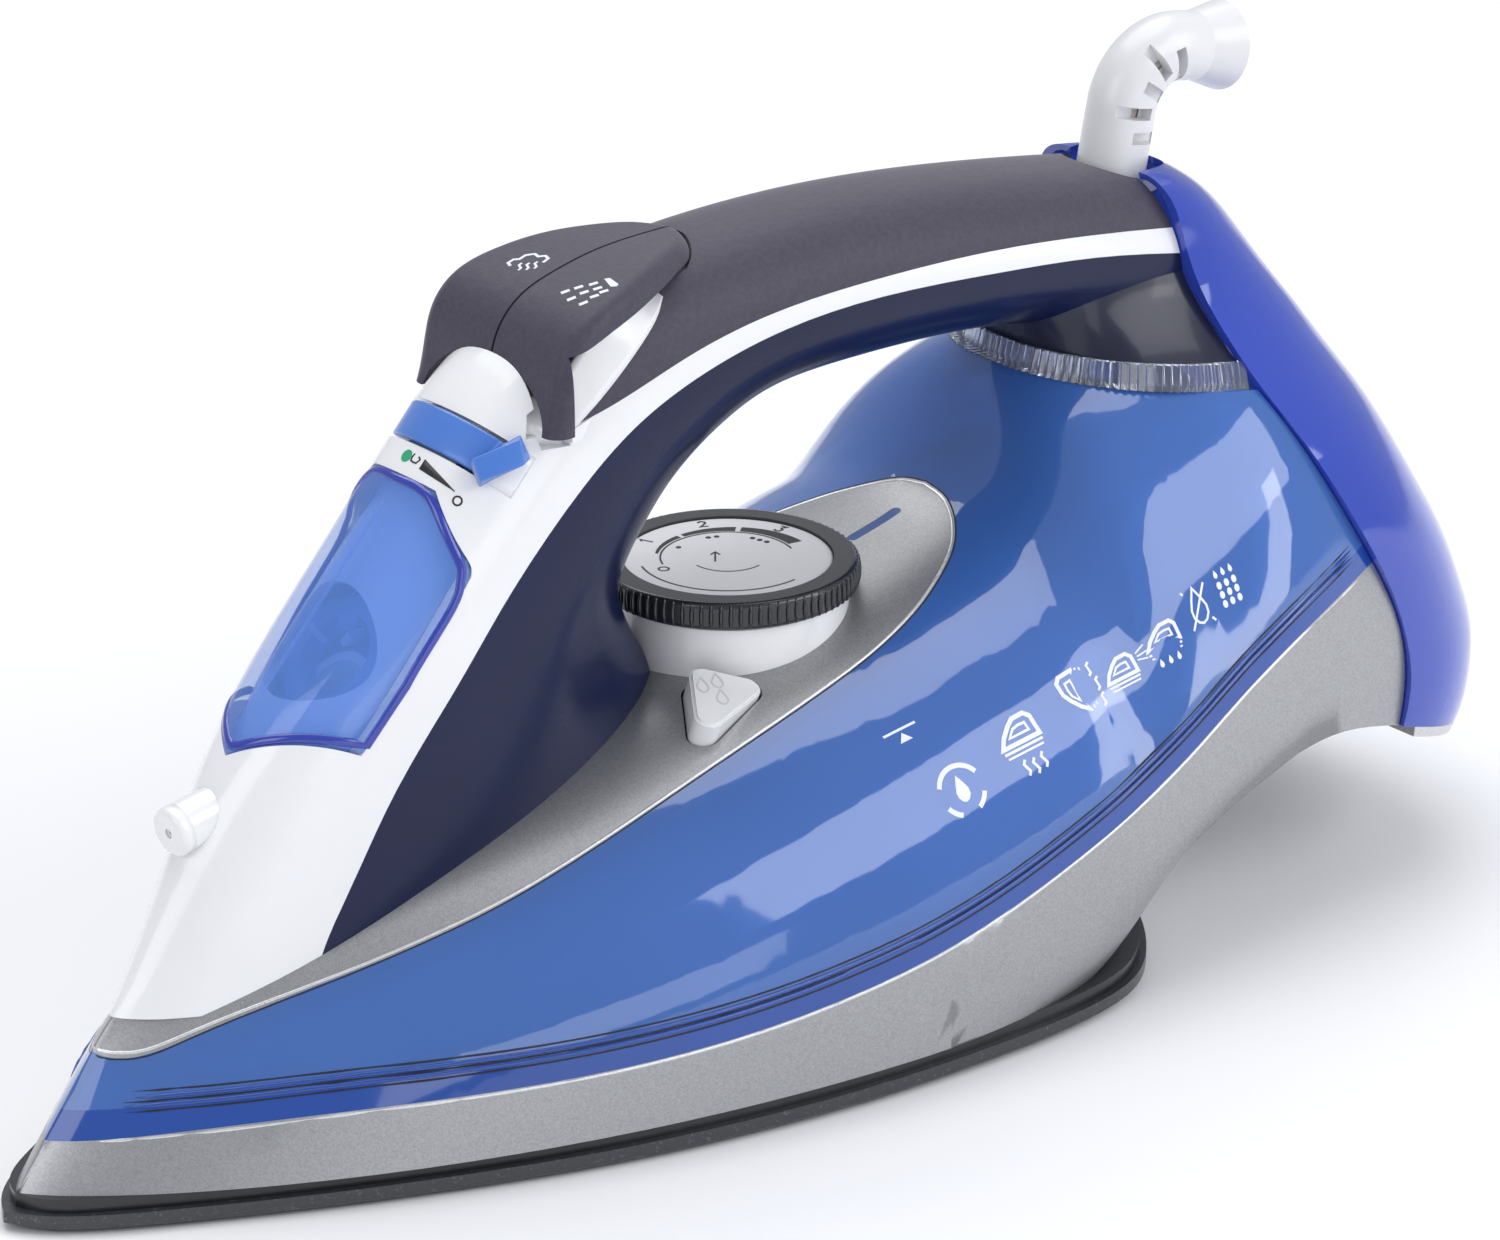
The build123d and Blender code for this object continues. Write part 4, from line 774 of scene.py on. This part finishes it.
def lever_ring(radius, taper):
    """Corners of the slanted finger lever at a radius, drawn in by a taper."""
    (a, low), (b, high) = LEVER_FOOT, LEVER_TIP
    return [(a - 5.2 + taper, radius, low + 1.2 + 0.6 * taper),
            (a + 5.2 - taper, radius, low - 1.2 + 0.6 * taper),
            (b + 5.0 - 2 * taper, radius, high - 1.2 - 1.8 * taper),
            (b - 5.4 + taper, radius, high + 1.2 - 0.8 * taper)]


rows = [[(round_column(a, BAND_OUT - (BAND_EASE if abs(h) == 1 else 0), h * BAND_HALF), -radial(a))
         for h in (-1, -0.92, -0.4, 0.4, 0.92, 1)] for a in range(BAND_FROM, BAND_TO + 1, 2)]
verts, faces = band_solid(rows, BAND_OUT - BAND_IN)
neck = [(37, 16.0, -3.3), (46, 16.0, -3.3), (46, 16.0, 3.3), (40, 16.0, 3.3),
        (40, 18.6, -3.3), (46, 18.6, -3.3), (50, 18.6, 3.0), (44, 18.6, 3.0)]
for block in (neck, lever_ring(17.95, 0) + lever_ring(19.6, 0), lever_ring(19.6, 0) + lever_ring(21.3, 1)):
    more_verts, more_faces = hull_of([round_column(*c) for c in block])
    faces += [[len(verts) + k for k in f] for f in more_faces]
    verts += more_verts
slider = mesh_piece("steam_slider_lever", verts, faces, slider_blue, "slider", "slider_blue")
edge_round = slider.modifiers.new("edges", "BEVEL")
edge_round.width, edge_round.segments = 0.00045, 3
edge_round.limit_method, edge_round.angle_limit = "ANGLE", math.radians(30)
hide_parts("steam_slider")

# a white stop fills the slot past the band, flush with the cover
shell_surface = surface_of("front_cover", "handle_grip", "handle_lower")


def shell_radius(angle, along):
    """Distance from the column's axis to its outer skin, or none where there is a slot or pocket."""
    hit = laid(shell_surface, [round_column(angle, 26.0, along)], -radial(angle), back=0.004)
    far = (hit[0][0] / MM - round_column(angle, 0, along)).length if hit else 0
    return far if 16 < far < 22 else None


rows = []
for a in range(BAND_TO + 1, SLOT_END + 1, 2):
    low, high = (shell_radius(a, side * (SLOT_HALF + 0.3)) or BAND_OUT for side in (-1, 1))
    rows.append([(round_column(a, low + (high - low) * (h + 1) / 2 - 0.02, h * (SLOT_HALF + 0.02)), -radial(a))
                 for h in (-1, -0.5, 0, 0.5, 1)])
mesh_piece("slot_stop", *band_solid(rows, 1.6), white, "housing", "white_gloss")


def read_between(known, at):
    """A value read between the known (place, value) pairs on either side, or at the nearest one."""
    h0, r0 = ([q for q in known if q[0] <= at] or known[:1])[-1]
    h1, r1 = ([q for q in known if q[0] >= at] or known[-1:])[0]
    return r0 if h1 - h0 < 1e-6 else r0 + (r1 - r0) * (at - h0) / (h1 - h0)


# shallow white beds behind the legs of the trigger caps, which stay clear of the pressed caps
BED_UNDER, BED_LIMIT, BED_FALL, BED_FALLS_FROM = 1.3, 16.3, 0.62, 8.0
for side, s in (("left", 1), ("right", -1)):
    rows = []
    for a in range(44, 99, 3):
        known = [(h, shell_radius(s * a, h)) for h in [4.2 + 0.6 * k for k in range(28)]]
        known = [(h, r) for h, r in known if r]
        row = []
        for h in [4.4 + 0.7 * k for k in range(20)]:
            r = min(read_between(known, h) - BED_UNDER, BED_LIMIT - BED_FALL * max(0.0, h - BED_FALLS_FROM))
            row.append((round_column(s * a, r, h), -radial(s * a)))
        rows.append(row)
    mesh_piece("cap_bed_" + side, *band_solid(rows, 1.0), white, "housing", "white_gloss")

black_ink = ink("black_pad_ink", (0.012, 0.012, 0.014))
green_ink = ink("green_pad_ink", (0.02, 0.36, 0.16))


def column_mark(angle, along, shapes):
    """Marks printed on the cover: x runs round to the left side, y up the column."""
    round_left = radial(angle + 90)
    return (round_column(angle, 17.0, along), tuple(round_left), tuple(radial(angle)), shapes)


WEDGE_FROM, WEDGE_TO, WEDGE_WIDE = 11, 37, 1.9          # degrees, degrees and mm
WEDGE_ALONG, WEDGE_ALONG_END, SKIN_GUESS = -6.4, -7.8, 16.9
rows = []
for a in range(WEDGE_FROM, WEDGE_TO + 1, 2):
    t = (a - WEDGE_FROM) / (WEDGE_TO - WEDGE_FROM)
    middle = WEDGE_ALONG + (WEDGE_ALONG_END - WEDGE_ALONG) * t
    half = max(0.1, WEDGE_WIDE / 2 * (1 - t)**0.8)
    rows.append([(round_column(a, (shell_radius(a, h) or SKIN_GUESS) + 0.05, h), -radial(a))
                 for h in (middle - half, middle, middle + half)])
mesh_piece("steam_wedge", *band_solid(rows, 0.12), black_ink, "housing", "white_gloss")
curl = [(-0.9, 0.7), (-1.0, 0.0), (-0.9, -0.6), (-0.2, -0.75), (0.5, -0.7), (0.9, 0.1), (0.3, 0.5)]
scale_marks = [column_mark(41, -8.9, [stroke(dot(0.75), 0.3, True)]), column_mark(5, -6.0, [stroke(curl, 0.3)])]
film("steam_scale", scale_marks, cover_surface, black_ink, "housing", "white_gloss")
film("steam_full_mark", [column_mark(-3, -6.2, [blot(arc(0, 0, 1.15, 0, 337, 15))])], cover_surface, green_ink,
     "housing", "white_gloss")

# icons on the two caps: spray to the left, steam cloud to the right
CAP_RIGHT, CAP_OUT = (0.6, -0.75, 0.17), (-0.26, 0, 0.96)
DASHES = [(-4.4, 1.0), (-2.1, 2.0), (0.5, 2.8), (-2.8, -1.6), (-0.7, 0.0), (1.6, 1.0), (-0.2, -3.6), (1.5, -1.7),
          (3.0, -0.3)]
spray_icon = [stroke([(x - 0.75, y - 0.35), (x + 0.75, y + 0.35)], 0.85) for x, y in DASHES]
spray_icon += [blot([(2.2, 4.3), (3.2, 4.5), (5.3, 1.9), (5.1, 1.2), (4.0, 1.2)])]
film("spray_icon", [((-40, -10.8, 138.3), CAP_RIGHT, CAP_OUT, scaled(spray_icon, 0.92))],
     surface_of("spray_button"), white_ink, "spray_trigger", "button_grey")
cloud = stroke([(-3.6, -1.4), (-4.3, -0.2), (-3.4, 0.9), (-2.2, 0.8), (-1.2, 2.2), (0.6, 2.4), (1.6, 1.2),
                (3.0, 1.3), (3.8, 0.1), (3.0, -1.3)], 0.62)
steam_icon = [cloud] + [puff(x, y, 0, 0.8) for x, y in ((-1.6, -3.4), (0, -3.6), (1.6, -3.4))]
film("steam_icon", [((-38.5, 6.6, 138.8), CAP_RIGHT, CAP_OUT, scaled(steam_icon, 0.85))],
     surface_of("steam_button"), white_ink, "steam_trigger", "button_grey")

# ---- Temperature dial
# A black ribbed ring round a white face, on a white wedge base. The face carries a ring of rising
# bars with plain digits and dots for the heat.
dial_black = finished("dial_black_abs", 300.0, [(0.3, (0.012, 0.013, 0.015)), (0.75, (0.020, 0.022, 0.025))],
                      (0.26, 0.08, 600.0, 0.08), Coat_Weight=0.4, Coat_Roughness=0.12)
dress(dial_black, "dial_grip_ring")
dial_white = finished("dial_face_satin", 30.0, [(0.3, (0.78, 0.78, 0.79)), (0.7, (0.82, 0.82, 0.83))],
                      (0.36, 0.06, 900.0, 0.08), Coat_Weight=0.2, Coat_Roughness=0.2)
dress(dial_white, "dial_face")
DIAL_X, DIAL_LOW, DIAL_HIGH = -1.2, 73.4, 78.4


def ribbed_ring_tree():
    """One rib is drawn out upright and copied round a circle. The tree ends in a plain mesh."""
    g = bpy.data.node_groups.new("dial_ribs", "GeometryNodeTree")
    group_sockets(g, [("Radius", "Float", 0.0226), ("Rib width", "Float", 0.0009),
                      ("Rib height", "Float", 0.004), ("Count", "Int", 76), ("Material", "Material", None)],
                  [("Geometry", "Geometry")])
    gi, go = add_node(g, "NodeGroupInput"), add_node(g, "NodeGroupOutput")
    circle = add_node(g, "GeometryNodeMeshCircle")
    rib = add_node(g, "GeometryNodeMeshUVSphere", in_Segments=12, in_Rings=8)
    stretch = add_node(g, "GeometryNodeTransform")
    size = add_node(g, "ShaderNodeCombineXYZ", in_X=1.25, in_Y=0.72)
    ratio = add_node(g, "ShaderNodeMath", operation="DIVIDE")
    wire(g, (gi, "Count", circle, "Vertices"), (gi, "Radius", circle, "Radius"), (gi, "Rib width", rib, "Radius"),
         (gi, "Rib height", ratio, 0), (gi, "Rib width", ratio, 1), (ratio, 0, size, 2),
         (rib, "Mesh", stretch, "Geometry"), (size, 0, stretch, "Scale"))
    copies = add_node(g, "GeometryNodeInstanceOnPoints")
    place = add_node(g, "GeometryNodeInputPosition")
    align = add_node(g, "FunctionNodeAlignRotationToVector", axis="X")
    wire(g, (place, 0, align, "Vector"), (circle, "Mesh", copies, "Points"),
         (stretch, "Geometry", copies, "Instance"), (align, 0, copies, "Rotation"))
    real = add_node(g, "GeometryNodeRealizeInstances")
    smooth = add_node(g, "GeometryNodeSetShadeSmooth")
    finish = add_node(g, "GeometryNodeSetMaterial")
    wire(g, (copies, 0, real, 0), (real, 0, smooth, 0), (smooth, 0, finish, "Geometry"),
         (gi, "Material", finish, "Material"), (finish, 0, go, 0))
    return g


def grown(name, group, move, body, slot_name, **values):
    """Runs a geometry tree once and keeps its result as a plain mesh piece, moved into place."""
    holder = bpy.data.objects.new(name + "_seed", bpy.data.meshes.new(name + "_seed"))
    bpy.context.scene.collection.objects.link(holder)
    mod = holder.modifiers.new("grow", "NODES")
    mod.node_group = group
    sockets = {s.name: s.identifier for s in group.interface.items_tree if s.in_out == "INPUT"}
    for key, value in values.items():
        mod[sockets[key.replace("_", " ")]] = value
    bpy.context.view_layer.update()
    mesh = bpy.data.meshes.new_from_object(holder.evaluated_get(bpy.context.evaluated_depsgraph_get()))
    bpy.data.objects.remove(holder)
    mesh.name = name
    mesh.transform(move)
    return placed(name, mesh, body)


grown("dial_ribs", ribbed_ring_tree(), Matrix.Translation((DIAL_X * MM, 0, (DIAL_LOW + DIAL_HIGH) / 2 * MM)),
      "dial", "dial_black", Radius=0.02218, Rib_width=0.00062, Rib_height=0.0023, Count=84, Material=dial_black)

DIGITS = {"1": [(-0.5, 0.7), (0.1, 1.2), (0.1, -1.2)],
          "2": [(-0.7, 0.7), (-0.1, 1.2), (0.6, 0.8), (0.5, 0.1), (-0.7, -1.2), (0.7, -1.2)],
          "3": [(-0.6, 1.2), (0.6, 1.2), (0.0, 0.3), (0.6, -0.2), (0.4, -1.0), (-0.2, -1.2), (-0.7, -0.8)]}
# digit, how many dots, where they stand, and the bar's ends in degrees and widths in mm
HEATS = [("1", 1, 152, 172, 132, 0.5, 1.1), ("2", 2, 106, 128, 84, 1.1, 1.8), ("3", 3, 55, 80, 30, 1.8, 2.6)]
BAR_RADIUS, DIGIT_RADIUS, DOT_RADIUS, BAR_PARTS = 12.1, 15.9, 9.6, 16


def at_angle(shapes, angle, radius):
    """Shapes moved out to a radius and turned to stand upright on the circle there."""
    x, y = radius * math.cos(math.radians(angle)), radius * math.sin(math.radians(angle))
    return [moved_by(sh, x, y, angle - 90) for sh in shapes]


face_marks = [stroke(arc(0, 0, 15.3, 196, 318, 40), 0.34), stroke(arc(0, 0, 11.6, 20, 196, 60), 0.32)]
for digit, count, angle, start, stop, w0, w1 in HEATS:
    inner = arc(0, 0, BAR_RADIUS, start, stop, BAR_PARTS)
    grow = [1 + (w0 + (w1 - w0) * k / BAR_PARTS) / BAR_RADIUS for k in range(BAR_PARTS + 1)]
    face_marks.append(blot(inner + [(x * g, y * g) for (x, y), g in zip(inner, grow)][::-1]))
    face_marks += at_angle([stroke(DIGITS[digit], 0.4)], angle, DIGIT_RADIUS)
    dots = [moved_by(blot(dot(0.5)), 1.5 * (k - (count - 1) / 2), 0) for k in range(count)]
    face_marks += at_angle(dots, angle, DOT_RADIUS)
face_marks += at_angle([stroke(dot(0.9), 0.34, True)], 206, 12.2)
face_marks += scaled([stroke(arc(0, 0, 7.2, 215, 325, 24), 0.3), stroke([(-2.4, -2.2), (-2.4, 2.4)], 0.34),
                      stroke([(-3.3, 1.3), (-2.4, 2.6), (-1.5, 1.3)], 0.34)], 0.9)
film("dial_marks", [((DIAL_X, 0, DIAL_HIGH), (0.77, -0.64, 0), (0, 0, 1), face_marks)], surface_of("dial_face"),
     black_ink, "dial", "dial_white")

# three small moulded drops on the self-clean button
pale_ink = ink("pale_grey_ink", (0.60, 0.60, 0.63))
drops = [stroke(drop_outline(x, y, 0.85), 0.3, True) for x, y in ((-2.4, 0.6), (0.4, 2.0), (0.6, -2.2))]
film("clean_mark", [((-20.8, -21.0, 66.5), (0.85, -0.45, -0.1), (0.0, -0.36, 0.933), drops)],
     surface_of("self_clean_button"), pale_ink, "clean", "clean_white")

# ---- Pilot lens
# A slim blue light pipe pressed into the deck. It lies on the centre line behind the dial and
# glows when the soleplate heats.
lens_blue = clear_plastic("lens_blue", (0.06, 0.16, 0.50), 0.4, 0.1)
dress(lens_blue, "pilot_lens")

# ---- Cord guard and lead
# A white slotted nylon guard that swivels, round a textile-braided mains lead.
braid = finished("textile_braid", 900.0, [(0.25, (0.20, 0.17, 0.13)), (0.5, (0.52, 0.48, 0.42)),
                                          (0.72, (0.75, 0.72, 0.66))], (0.6, 0.15, 1400.0, 0.8),
                 distance=0.0002, Sheen_Weight=0.3, Sheen_Roughness=0.5)
dress(braid, "cord_lead")
guard_white = finished("guard_white_nylon", 20.0, [(0.3, (0.70, 0.70, 0.715)), (0.7, (0.745, 0.745, 0.755))],
                       (0.32, 0.06, 700.0, 0.05), Coat_Weight=0.2, Coat_Roughness=0.12,
                       Subsurface_Weight=0.05, Subsurface_Scale=0.002)
dress(guard_white, "cord_guard", "guard_socket")

# ---- Floor, lights and camera
# A pale floor and large soft panels, as in a product studio. A long lens looks at the left front
# from a little above.
FLOOR_Z = -0.0004
floor_mesh = bpy.data.meshes.new("floor")
floor_mesh.from_pydata([(x, y, FLOOR_Z) for x, y in ((-4, -4), (4, -4), (4, 6), (-4, 6))], [], [(0, 1, 2, 3)])
floor = bpy.data.objects.new("floor", floor_mesh)
bpy.context.scene.collection.objects.link(floor)
paper = finished("studio_paper", 3.0, [(0.3, (0.90, 0.90, 0.905)), (0.7, (0.92, 0.92, 0.925))],
                 (0.8, 0.05, 50.0, 0.01))
floor_mesh.materials.append(paper)
AIM = Vector((0, 0, 0.06))


def turned(o, direction):
    """Puts a light or camera into the scene, looking along a direction."""
    o.rotation_mode = "QUATERNION"
    o.rotation_quaternion = direction.to_track_quat("-Z", "Y")
    bpy.context.scene.collection.objects.link(o)


def softbox(name, direction, distance, size, glow, colour=(1, 1, 1)):
    """A panel that faces the object from a direction, with a given glow per area."""
    light = bpy.data.lights.new(name, "AREA")
    light.shape, light.size, light.size_y, light.color = "RECTANGLE", *size, colour
    light.energy = glow * math.pi * size[0] * size[1]
    o = bpy.data.objects.new(name, light)
    o.location = AIM + Vector(direction).normalized() * distance
    turned(o, AIM - o.location)


softbox("tank_panel", (0.40, -0.72, 0.56), 1.5, (1.15, 0.75), 3.2, (0.96, 0.97, 1.0))
softbox("rear_strip", (0.66, -0.74, 0.14), 1.5, (0.20, 1.0), 4.0)
softbox("top_panel", (0.15, 0.35, 0.93), 1.6, (1.5, 1.5), 2.4)
softbox("nose_panel", (-0.88, -0.10, 0.46), 1.5, (0.8, 0.8), 2.2)
softbox("low_side_panel", (-0.10, -0.97, 0.12), 1.7, (0.9, 0.35), 1.6)
world = bpy.data.worlds.new("studio")
bpy.context.scene.world = world
world.use_nodes = True
world.node_tree.nodes["Background"].inputs["Color"].default_value = (0.90, 0.93, 1.0, 1)
world.node_tree.nodes["Background"].inputs["Strength"].default_value = 0.50
bpy.context.scene.view_settings.view_transform = "Standard"

TARGET = Vector((0.003753, 0, 0.06501))
AZIMUTH, ELEVATION, DISTANCE = math.radians(40), math.radians(22.5), 1.25
SENSOR_WIDTH, FOCAL_RATIO = 36, 7242 / 1500
camera = bpy.data.cameras.new("camera")
camera.sensor_width = SENSOR_WIDTH
camera.lens = FOCAL_RATIO * SENSOR_WIDTH
view_dir = Vector((math.sin(AZIMUTH) * math.cos(ELEVATION), math.cos(AZIMUTH) * math.cos(ELEVATION),
                   -math.sin(ELEVATION)))
eye = bpy.data.objects.new("camera", camera)
eye.location = TARGET - view_dir * DISTANCE
turned(eye, view_dir)
bpy.context.scene.camera = eye
